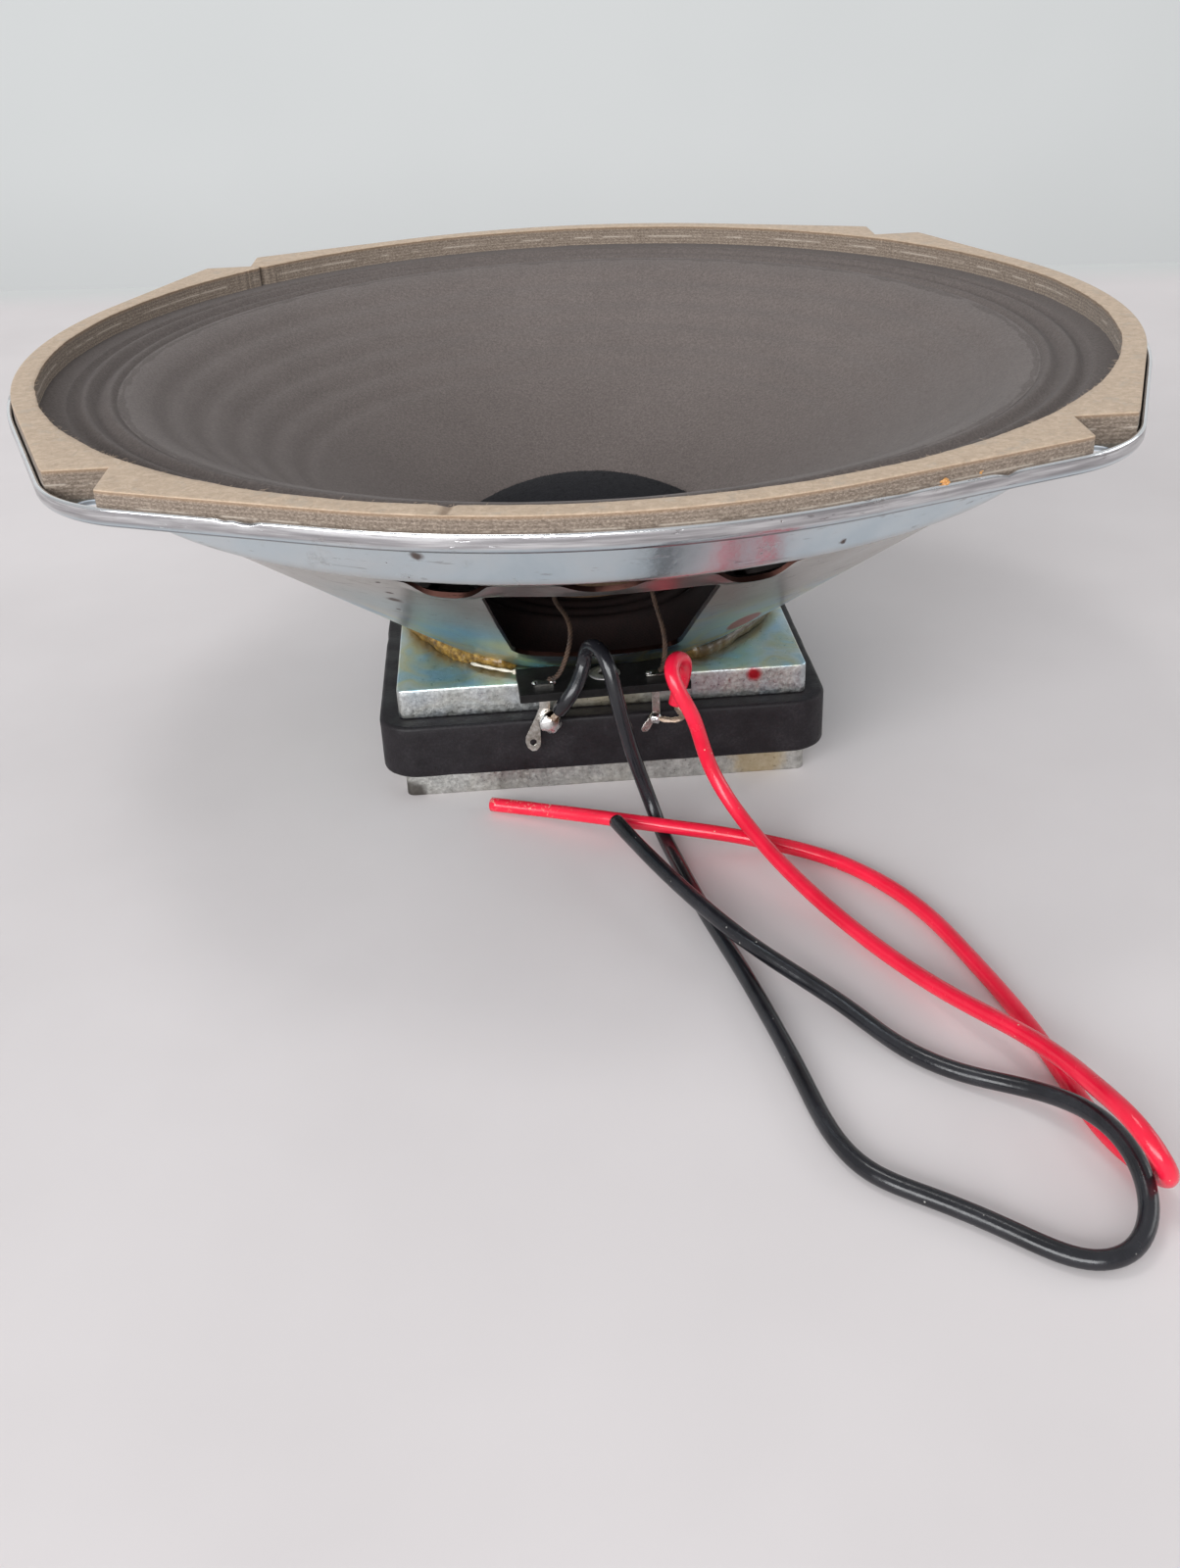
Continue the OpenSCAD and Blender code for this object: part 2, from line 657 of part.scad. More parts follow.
module cord(route, d) {
    line = smooth(route, cord_steps);
    last = len(line) - 1;
    sides = ring_sides(line, 0, [0.1, 0.3, 1]);
    points = [for (i = [0:last]) each ring(line[i], along(line, i), sides[i], d / 2)];
    walls = [for (i = [0:last - 1], k = [0:cord_sides - 1])
        let (a = i * cord_sides + k, b = i * cord_sides + (k + 1) % cord_sides)
        each [[a, a + cord_sides, b + cord_sides], [a, b + cord_sides, b]]];
    near_end = [for (k = [1:cord_sides - 2]) [0, k, k + 1]];
    end = last * cord_sides;
    far_end = [for (k = [1:cord_sides - 2]) [end, end + k + 1, end + k]];
    polyhedron(points, concat(near_end, walls, far_end), convexity = 10);
}

// Tinsel leads: from the joints under the cone, out over the window's lower edge, to the tags
left_tinsel_route = [[-6.6, -34.7, 43], [-7.2, -35.4, 40.8], [-7.3, -36.6, 37.2], [-5.2, -38.8, 35.8],
    [-4.2, -42.6, 34.3], [-5, -45.6, 31.4], [-6.6, -45.4, 27.4], [-7.6, -44.4, 25.8],
    [-8.8, -43.9, 25.4]];
right_tinsel_route = [[10.2, -34.7, 43.4], [10.4, -35.4, 42], [10.2, -36.6, 38.4], [11.2, -38.8, 35],
    [12, -41.8, 32.6], [12, -44.5, 30.4], [11.6, -44.8, 28], [11.4, -43.8, 26.2], [11.1, -42.6, 25.4]];

// Wires: soldered to the tags, looped up over the board's edge, then lying in front
black_route = [[-7.2, -48, 21.2], [-6.2, -49.3, 23.2], [-4, -49, 26], [-2.5, -46.5, 29],
    [-2, -47, 32.7], [-0.5, -51, 35.2], [1.4, -54.5, 33.4], [2.2, -56, 29], [3.2, -56, 24],
    [4.4, -55.5, 18.3], [6, -54.5, 12], [8, -54.5, 5.5], [9.5, -58.5, 1.5], [11, -66, 1.3],
    [13, -77, 1.4], [15.5, -88, 1.4], [18.5, -100, 1.4], [21, -112, 1.4], [23.5, -125, 1.4],
    [25, -136, 1.4], [28.5, -144.5, 1.4], [36, -149, 1.4], [44, -155, 1.4], [51, -161.5, 1.4],
    [58, -161, 1.8], [62, -154.5, 3.4], [62, -146, 5.2], [59, -138, 4.8], [53, -131, 2.5],
    [45, -126.5, 1.4], [38, -120, 1.4], [33, -111, 1.6], [26.5, -104, 2.8], [20, -98, 4.6],
    [14, -88, 5], [8.5, -77, 5.2], [4, -67, 5.5], [1.5, -61, 5.7]];
red_route = [[13.4, -47.5, 21], [13.7, -47.6, 23], [14.4, -47.6, 25.2], [15, -48.4, 28],
    [14.8, -50.6, 31], [12.8, -53.2, 32.8], [11.6, -56.4, 31.8], [13, -58.2, 28.6], [15.4, -58.2, 24],
    [16.6, -57.8, 19.5], [18, -57.8, 14], [21, -60.5, 8.5], [25, -67.5, 5], [30, -78, 3],
    [36, -89, 1.6], [42.5, -101, 1.6], [48.5, -112, 2.8], [54, -122, 5.2], [57.5, -131.5, 7.5],
    [59, -140, 9.6], [60.8, -147.5, 11.2], [63, -153.5, 8.8], [66, -151, 2.4], [61.5, -142, 1.1],
    [59.5, -131, 1.5], [58.5, -121, 1.4], [56.5, -111, 1.4], [53.5, -100, 1.4], [50.5, -89, 1.4],
    [45.5, -79, 1.4], [38, -70, 1.4], [29.5, -65.5, 1.8], [21, -63.5, 3.2], [12.5, -62.5, 4.5],
    [4, -59, 4.3], [-5, -53.5, 3], [-13, -49, 2], [-20.5, -45.5, 1.4]];
black_strand_route = [[-7.2, -48, 21.2], [-7.6, -47.3, 20.3], [-8.1, -46.4, 19.3],
    [-8.5, -45.4, 18.3]];
red_strand_route = [[13.4, -47.5, 21], [13.7, -47.2, 19.6], [14.6, -46.5, 18.2], [14.9, -45.4, 17],
    [13.5, -44.6, 16.2], [11.9, -43.8, 15.9], [10.7, -43.1, 16]];

module left_tinsel_lead() {
    color("sienna") cord(left_tinsel_route, tinsel_d);
}

module right_tinsel_lead() {
    color("sienna") cord(right_tinsel_route, tinsel_d);
}

module black_wire() {
    color("black") cord(black_route, wire_d);
}

module red_wire() {
    color("crimson") cord(red_route, wire_d);
}

module black_wire_strands() {
    color("peru") cord(black_strand_route, strand_d);
}

module red_wire_strands() {
    color("peru") cord(red_strand_route, strand_d);
}

basket();
gasket();
top_plate();
magnet();
back_plate();
pole_piece();
glue_bead();
spider();
coil_former();
voice_coil();
cone();
cone_edge();
dust_cap();
left_lead_joint();
right_lead_joint();
tag_board();
tag_rivet();
left_tag();
right_tag();
left_solder();
right_solder();
left_tinsel_lead();
right_tinsel_lead();
black_wire();
red_wire();
black_wire_strands();
red_wire_strands();
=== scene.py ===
import math

import bpy
import numpy as np
from mathutils import Matrix, Vector, noise


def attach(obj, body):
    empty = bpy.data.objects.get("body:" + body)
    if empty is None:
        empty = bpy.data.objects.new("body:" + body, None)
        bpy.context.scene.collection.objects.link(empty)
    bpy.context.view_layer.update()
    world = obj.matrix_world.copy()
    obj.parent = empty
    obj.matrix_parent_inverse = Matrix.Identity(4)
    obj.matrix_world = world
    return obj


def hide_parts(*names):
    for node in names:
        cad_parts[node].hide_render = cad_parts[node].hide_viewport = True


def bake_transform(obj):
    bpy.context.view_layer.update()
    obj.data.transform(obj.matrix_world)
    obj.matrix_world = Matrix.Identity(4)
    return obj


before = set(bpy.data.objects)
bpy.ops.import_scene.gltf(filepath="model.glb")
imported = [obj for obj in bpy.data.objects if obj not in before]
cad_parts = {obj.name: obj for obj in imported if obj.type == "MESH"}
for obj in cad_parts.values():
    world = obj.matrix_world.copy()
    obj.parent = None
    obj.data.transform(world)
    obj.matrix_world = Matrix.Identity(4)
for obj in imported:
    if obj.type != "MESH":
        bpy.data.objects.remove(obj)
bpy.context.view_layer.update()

MM = 0.001

# Camera: the photograph's own viewpoint, fitted to the rim and the plates
CAMERA_AT = (-7.768, -288.534, 144.870)
CAMERA_RIGHT = (0.998141, -0.045548, -0.040489)
CAMERA_UP = (0.057831, 0.498367, 0.865035)
CAMERA_BACK = (-0.019222, -0.865769, 0.500075)
camera_data = bpy.data.cameras.new("camera")
camera_data.sensor_width = 36
camera_data.lens = 35.23
camera_data.clip_start = 0.01
camera = bpy.data.objects.new("camera", camera_data)
axes = Matrix((CAMERA_RIGHT, CAMERA_UP, CAMERA_BACK)).transposed().to_4x4()
camera.matrix_world = Matrix.Translation(Vector(CAMERA_AT) * MM) @ axes
bpy.context.collection.objects.link(camera)
bpy.context.scene.camera = camera

# Sizes that part.scad also has, in millimetres
SHEET = 0.8
BASE_R, BASE_Z = 33.7, 22.0
SIDE_TOP = (84.0, 59.6)
STEP = (88.8, 61.8)
WALL_TOP_R, FLANGE_Z = 94.2, 71.0
SEAT_Z = FLANGE_Z + SHEET
LIP_Z = 74.1
GASKET_Z = 76.4
RIM_R, EAR_R, EAR_TIP_R = 101.5, 108.5, 25.0
HOLE_AT_R, HOLE_R = 103.6, 2.4
PLATE_W, BACK_Z = 75, 5.8
MAGNET_W, MAGNET_Z = 82.5, 16.2
BOARD_Z, BOARD_TOP_Z = 22.8, 24.4
RIVET = (1.2, -40.8)
MAGNET_TURN = math.radians(1.5)
BOARD_TURN = math.radians(4)

WIRE_D = 2.6
BLACK_ROUTE = [
    (-7.2, -48, 21.2), (-6.2, -49.3, 23.2), (-4, -49, 26), (-2.5, -46.5, 29), (-2, -47, 32.7),
    (-0.5, -51, 35.2), (1.4, -54.5, 33.4), (2.2, -56, 29), (3.2, -56, 24), (4.4, -55.5, 18.3),
    (6, -54.5, 12), (8, -54.5, 5.5), (9.5, -58.5, 1.5), (11, -66, 1.3), (13, -77, 1.4),
    (15.5, -88, 1.4), (18.5, -100, 1.4), (21, -112, 1.4), (23.5, -125, 1.4), (25, -136, 1.4),
    (28.5, -144.5, 1.4), (36, -149, 1.4), (44, -155, 1.4), (51, -161.5, 1.4), (58, -161, 1.8),
    (62, -154.5, 3.4), (62, -146, 5.2), (59, -138, 4.8), (53, -131, 2.5), (45, -126.5, 1.4),
    (38, -120, 1.4), (33, -111, 1.6), (26.5, -104, 2.8), (20, -98, 4.6), (14, -88, 5),
    (8.5, -77, 5.2), (4, -67, 5.5), (1.5, -61, 5.7)]
RED_ROUTE = [
    (13.4, -47.5, 21), (13.7, -47.6, 23), (14.4, -47.6, 25.2), (15, -48.4, 28), (14.8, -50.6, 31),
    (12.8, -53.2, 32.8), (11.6, -56.4, 31.8), (13, -58.2, 28.6), (15.4, -58.2, 24),
    (16.6, -57.8, 19.5), (18, -57.8, 14), (21, -60.5, 8.5), (25, -67.5, 5), (30, -78, 3),
    (36, -89, 1.6), (42.5, -101, 1.6), (48.5, -112, 2.8), (54, -122, 5.2), (57.5, -131.5, 7.5),
    (59, -140, 9.6), (60.8, -147.5, 11.2), (63, -153.5, 8.8), (66, -151, 2.4), (61.5, -142, 1.1),
    (59.5, -131, 1.5), (58.5, -121, 1.4), (56.5, -111, 1.4), (53.5, -100, 1.4), (50.5, -89, 1.4),
    (45.5, -79, 1.4), (38, -70, 1.4), (29.5, -65.5, 1.8), (21, -63.5, 3.2), (12.5, -62.5, 4.5),
    (4, -59, 4.3), (-5, -53.5, 3), (-13, -49, 2), (-20.5, -45.5, 1.4)]
BLACK_STRANDS = [
    (-7.2, -48, 21.2), (-7.6, -47.3, 20.3), (-8.1, -46.4, 19.3), (-8.5, -45.4, 18.3)]
RED_STRANDS = [
    (13.4, -47.5, 21), (13.7, -47.2, 19.6), (14.6, -46.5, 18.2), (14.9, -45.4, 17),
    (13.5, -44.6, 16.2), (11.9, -43.8, 15.9), (10.7, -43.1, 16)]
LEFT_TINSEL = [
    (-6.6, -34.7, 43), (-7.2, -35.4, 40.8), (-7.3, -36.6, 37.2), (-5.2, -38.8, 35.8),
    (-4.2, -42.6, 34.3), (-5, -45.6, 31.4), (-6.6, -45.4, 27.4), (-7.6, -44.4, 25.8),
    (-8.8, -43.9, 25.4)]
RIGHT_TINSEL = [
    (10.2, -34.7, 43.4), (10.4, -35.4, 42), (10.2, -36.6, 38.4), (11.2, -38.8, 35),
    (12, -41.8, 32.6), (12, -44.5, 30.4), (11.6, -44.8, 28), (11.4, -43.8, 26.2),
    (11.1, -42.6, 25.4)]


# Curves
def heading(angle):
    return np.array([math.cos(angle), math.sin(angle)])


def smooth(route, steps):
    """Points of the smooth curve that a route's points steer, as part.scad makes it."""
    p = np.array(route, float)
    p = np.vstack([2 * p[0] - p[1], p, 2 * p[-1] - p[-2]])
    points = []
    for a, b, c, d in zip(p, p[1:], p[2:], p[3:]):
        for t in np.arange(steps) / steps:
            points.append(((1 - t) ** 3 * a + (4 - 6 * t * t + 3 * t ** 3) * b
                           + (1 + 3 * t + 3 * t * t - 3 * t ** 3) * c + t ** 3 * d) / 6)
    return np.array(points + [p[-2]])


def distances(points):
    """How far along a line each of its points lies."""
    return np.concatenate([[0], np.cumsum(np.linalg.norm(np.diff(points, axis=0), axis=1))])


def frames(points):
    """Tangent and two sides at each point of a line, turned as little as can be."""
    tangents = np.gradient(np.asarray(points, float), axis=0)
    tangents /= np.linalg.norm(tangents, axis=1)[:, None]
    side = np.array((0.1, 0.3, 1))
    sides = []
    for t in tangents:
        side = side - side @ t * t
        side /= np.linalg.norm(side)
        sides.append(side)
    return tangents, np.array(sides), np.cross(tangents, sides)


def rounded(path, r, steps):
    """A path of (r, z) points with its corners rounded."""
    out = [np.array(path[0], float)]
    for a, b, c in zip(path, path[1:], path[2:]):
        a, b, c = (np.array(p, float) for p in (a, b, c))
        u, w = (a - b) / np.linalg.norm(a - b), (c - b) / np.linalg.norm(c - b)
        half = math.acos(max(-1, min(1, u @ w))) / 2
        centre = b + (u + w) / np.linalg.norm(u + w) * r / math.sin(half)
        first, last = (b + v * r / math.tan(half) - centre for v in (u, w))
        start = math.atan2(first[1], first[0])
        turn = math.atan2(last[1], last[0]) - start
        turn = (turn + math.pi) % (2 * math.pi) - math.pi
        out += [centre + r * heading(start + turn * k / steps) for k in range(steps + 1)]
    return out + [np.array(path[-1], float)]


def beside(path, t):
    """The same path moved square to itself by t."""
    out = []
    for i, p in enumerate(path):
        before = path[1] - path[0] if i == 0 else path[i] - path[i - 1]
        after = before if i == len(path) - 1 else path[i + 1] - path[i]
        n1, n2 = (np.array([-v[1], v[0]]) / np.linalg.norm(v) for v in (before, after))
        n = (n1 + n2) / np.linalg.norm(n1 + n2)
        out.append(p + n * t / (n @ n1))
    return out


def spread(path, step):
    """The same path with more points, no further apart than step."""
    out = [path[0]]
    for a, b in zip(path, path[1:]):
        n = max(1, math.ceil(np.linalg.norm(b - a) / step))
        out.extend(a + (b - a) * k / n for k in range(1, n + 1))
    return out


# Meshes: each is a pair of vertices, in millimetres, and faces
def settle(obj, body=None, node=None):
    if body:
        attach(obj, body)
    if node:
        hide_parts(node)


def make(name, shape, material=None, body=None, node=None, sharp=None):
    """An object of that shape, riding on its body in place of its CAD node."""
    verts, faces = shape
    mesh = bpy.data.meshes.new(name)
    mesh.from_pydata((np.asarray(verts, float) * MM).tolist(), [], [list(f) for f in faces])
    mesh.validate()
    mesh.update()
    for polygon in mesh.polygons:
        polygon.use_smooth = True
    obj = bpy.data.objects.new(name, mesh)
    bpy.context.collection.objects.link(obj)
    if sharp:
        mesh.set_sharp_from_angle(angle=math.radians(sharp))
    if material:
        mesh.materials.append(material)
    settle(obj, body, node)
    return obj


def carve(obj, tool):
    """Cuts a closed shape out of an object, and gives its new mesh."""
    cutting = make("cutters", tool)
    cut = obj.modifiers.new("cut", "BOOLEAN")
    cut.operation = "DIFFERENCE"
    cut.solver = "EXACT"
    cut.object = cutting
    bpy.context.view_layer.update()
    depsgraph = bpy.context.evaluated_depsgraph_get()
    mesh = bpy.data.meshes.new_from_object(obj.evaluated_get(depsgraph))
    obj.modifiers.remove(cut)
    obj.data = mesh
    bpy.data.objects.remove(cutting)
    return mesh


def bevel(obj, width):
    modifier = obj.modifiers.new("bevel", "BEVEL")
    modifier.width = width * MM
    modifier.segments = 2
    modifier.limit_method = "ANGLE"
    modifier.angle_limit = math.radians(40)


def places(mesh):
    """A mesh's points, in millimetres."""
    co = np.zeros(len(mesh.vertices) * 3, np.float32)
    mesh.vertices.foreach_get("co", co)
    return co.reshape(-1, 3) / MM


def lumps(points, size, seed=0, octaves=2):
    """Smooth noise from -1 to 1 at points of any array shape, for small bumps."""
    out = []
    for x, y, z in points.reshape(-1, 3):
        at = Vector((x / size + seed * 7.1, y / size - seed * 3.7, z / size))
        out.append(noise.fractal(at, 0.8, 2.0, octaves))
    return np.array(out).reshape(points.shape[:-1])


def grid(points, closed=True):
    """Quads over points indexed [u][v]. V closes on itself, and u too where closed."""
    points = np.asarray(points, float)
    nu, nv = points.shape[:2]
    u, v = np.meshgrid(np.arange(nu if closed else nu - 1), np.arange(nv), indexing="ij")
    next_u, next_v = (u + 1) % nu, (v + 1) % nv
    quads = np.stack([u * nv + v, next_u * nv + v, next_u * nv + next_v, u * nv + next_v], -1)
    return points.reshape(-1, 3), quads.reshape(-1, 4)


def hose(rows, caps=True, order=-1):
    """A skin over rings of points that follow each other, with its two ends closed."""
    verts, quads = grid(rows, closed=False)
    faces = [tuple(f) for f in quads[:, ::order]]
    if caps:
        sides = len(rows[0])
        faces += [tuple(range(sides - 1, -1, -1)), tuple(range(len(verts) - sides, len(verts)))]
    return verts, faces


def rings(points, radius, sides):
    """Circles square to a line, of one radius or of one for each point."""
    _, s, n = frames(points)
    a = np.arange(sides)[:, None] * 2 * math.pi / sides
    radius = np.broadcast_to(np.asarray(radius, float), (len(points),))
    return np.array([p + r * (np.cos(a) * s[i] + np.sin(a) * n[i])
                     for i, (p, r) in enumerate(zip(points, radius))])


def tube(points, radius, sides=16, caps=True):
    return hose(rings(points, radius, sides), caps)


def joined(parts):
    """One shape from several."""
    verts, faces = [], []
    for v, f in parts:
        start = len(verts)
        verts.extend(np.asarray(v, float).tolist())
        faces.extend(tuple(int(i) + start for i in face) for face in f)
    return verts, faces


def prism(plan, z0, z1):
    n = len(plan)
    verts = [(*p, z) for z in (z0, z1) for p in plan]
    faces = [(i, (i + 1) % n, n + (i + 1) % n, n + i) for i in range(n)]
    return np.array(verts), faces + [tuple(range(n - 1, -1, -1)), tuple(range(n, n + n))]


def turned(profile, steps=160, at=(0, 0), shakes=(), order=1):
    """A closed profile of (r, z) points turned about the axis. Order -1 turns its faces over.

    Each shake is a size, a seed, octaves and a height of bumps along Z."""
    a = np.linspace(0, 2 * math.pi, steps, endpoint=False) - math.pi / 2
    r, z = np.array(profile).T
    points = np.stack([np.outer(np.cos(a), r), np.outer(np.sin(a), r), np.tile(z, (steps, 1))], -1)
    rise = sum(lumps(points, size, seed, octaves) * height for size, seed, octaves, height in shakes)
    points[..., 2] += rise
    verts, faces = grid(points + (*at, 0))
    return verts, faces[:, ::order]


# Materials
class Shader:
    """A Principled material and short ways to add its nodes."""

    def __init__(self, name, roughness=0.5, metallic=0.0, **sockets):
        self.material = bpy.data.materials.new(name)
        self.material.use_nodes = True
        self.tree = self.material.node_tree
        self.shader = self.tree.nodes["Principled BSDF"]
        for key, value in dict(sockets, Roughness=roughness, Metallic=metallic).items():
            self.shader.inputs[key.replace("_", " ")].default_value = value
        self.coord = self.node("TexCoord")
        self.bump = None

    def node(self, kind, **settings):
        made = self.tree.nodes.new("ShaderNode" + kind)
        for key, value in settings.items():
            setattr(made, key, value)
        return made

    def link(self, out, into):
        self.tree.links.new(out, into)

    def put(self, socket, out):
        self.link(out, self.shader.inputs[socket])

    def feed(self, made, **inputs):
        """Sets or links a node's inputs by name."""
        for key, value in inputs.items():
            socket = made.inputs[key.replace("_", " ")]
            if isinstance(value, bpy.types.NodeSocket):
                self.link(value, socket)
            else:
                socket.default_value = value

    def place(self, scale=(1, 1, 1), at=(0, 0, 0)):
        """The point's place in millimetres, stretched by scale."""
        mapping = self.node("Mapping")
        self.feed(mapping, Scale=[s / MM for s in scale], Location=at, Vector=self.coord.outputs["Object"])
        return mapping.outputs["Vector"]

    def noise(self, size, detail=3, rough=0.55, scale=(1, 1, 1), at=(0, 0, 0), distortion=0.0):
        """Noise with features about size millimetres wide."""
        made = self.node("TexNoise")
        self.feed(made, Scale=1 / size, Detail=detail, Roughness=rough, Distortion=distortion,
                  Vector=self.place(scale, at))
        return made.outputs["Fac"]

    def cells(self, size, at=(0, 0, 0)):
        made = self.node("TexVoronoi")
        self.feed(made, Scale=1 / size, Vector=self.place(at=at))
        return made.outputs["Distance"]

    def ramp(self, value, low, high, to_low=0.0, to_high=1.0):
        made = self.node("MapRange", interpolation_type="SMOOTHSTEP")
        self.feed(made, From_Min=low, From_Max=high, To_Min=to_low, To_Max=to_high, Value=value)
        return made.outputs["Result"]

    def math(self, operation, *values):
        made = self.node("Math", operation=operation)
        for socket, value in zip(made.inputs, values):
            if isinstance(value, (int, float)):
                socket.default_value = value
            else:
                self.link(value, socket)
        return made.outputs["Value"]

    def times(self, a, b):
        return self.math("MULTIPLY", a, b)

    def shared(self, a, part, b):
        """That part of a and the rest of b."""
        return self.math("ADD", self.times(a, part), self.times(b, 1 - part))

    def colors(self, value, *stops):
        """A colour ramp: each stop is (place, (r, g, b))."""
        made = self.node("ValToRGB")
        elements = made.color_ramp.elements
        while len(elements) < len(stops):
            elements.new(0.5)
        for element, (place, color) in zip(elements, stops):
            element.position = place
            element.color = (*color, 1)
        self.feed(made, Fac=value)
        return made.outputs["Color"]

    def mix(self, value, a, b):
        """Colour a where value is 0 and b where it is 1."""
        made = self.node("Mix", data_type="RGBA")
        sockets = [s for s in made.inputs if s.enabled]
        for socket, given in zip(sockets, (value, a, b)):
            if isinstance(given, float):
                socket.default_value = given
            elif isinstance(given, tuple):
                socket.default_value = (*given, 1)
            else:
                self.link(given, socket)
        return [s for s in made.outputs if s.enabled][0]

    def over(self, color, mask, strength, shade):
        """That shade laid over a colour, at full strength where mask is 1."""
        return self.mix(self.times(mask, strength), color, shade)

    def lump(self, height, distance):
        """Adds a bump of that height, in millimetres, on top of the last."""
        made = self.node("Bump")
        self.feed(made, Strength=1.0, Distance=distance * MM, Height=height)
        if self.bump:
            self.feed(made, Normal=self.bump)
        self.bump = made.outputs["Normal"]
        self.put("Normal", self.bump)

    def part_of(self, which, vector):
        split = self.node("SeparateXYZ")
        self.feed(split, Vector=vector)
        return split.outputs[which]

    def axis(self, which):
        """X, Y or Z of the point, in millimetres."""
        return self.part_of(which, self.place())

    def upward(self):
        """1 on a face that looks up, 0 on a wall, -1 on one that looks down."""
        return self.part_of("Z", self.coord.outputs["Normal"])

    def spot(self, at, size, blur=0.3, scale=(1, 1, 1), wobble=0.0):
        """1 inside a blot at that point, 0 outside, with its edge blurred."""
        where = self.place(scale)
        if wobble:
            made = self.node("TexNoise")
            self.feed(made, Scale=0.6, Vector=where)
            shifted = self.node("VectorMath", operation="MULTIPLY_ADD")
            shifted.inputs[1].default_value = (wobble,) * 3
            self.link(made.outputs["Color"], shifted.inputs[0])
            self.link(where, shifted.inputs[2])
            where = shifted.outputs["Vector"]
            at = [a + wobble / 2 for a in at]
        far = self.node("VectorMath", operation="DISTANCE")
        far.inputs[1].default_value = [a * s for a, s in zip(at, scale)]
        self.link(where, far.inputs[0])
        return self.ramp(far.outputs["Value"], size * (1 - blur), size * (1 + blur), 1.0, 0.0)


# Coloured blooms low on the basket, each a place, a size and a shade, and its specks
BLOOMS = (((-24.5, -47.5, 36.8), 7, (0.34, 0.66, 0.88)), ((-16.4, -45.4, 32.9), 5, (0.72, 0.74, 0.46)),
          ((-33, -60, 46), 9, (0.50, 0.60, 0.62)), ((18.5, -49.5, 36.3), 8, (0.40, 0.56, 0.62)))
SPECKS = (((-25.8, -88.2, 67.1), 0.9), ((-33.1, -75.3, 58.3), 0.45), ((-32.1, -69.7, 54.2), 0.6),
          ((-31.9, -65.3, 51.2), 1.3), ((-32.1, -57.8, 46.3), 0.5), ((34.5, -83, 63.6), 0.5),
          ((40.4, -83, 67.7), 0.7))


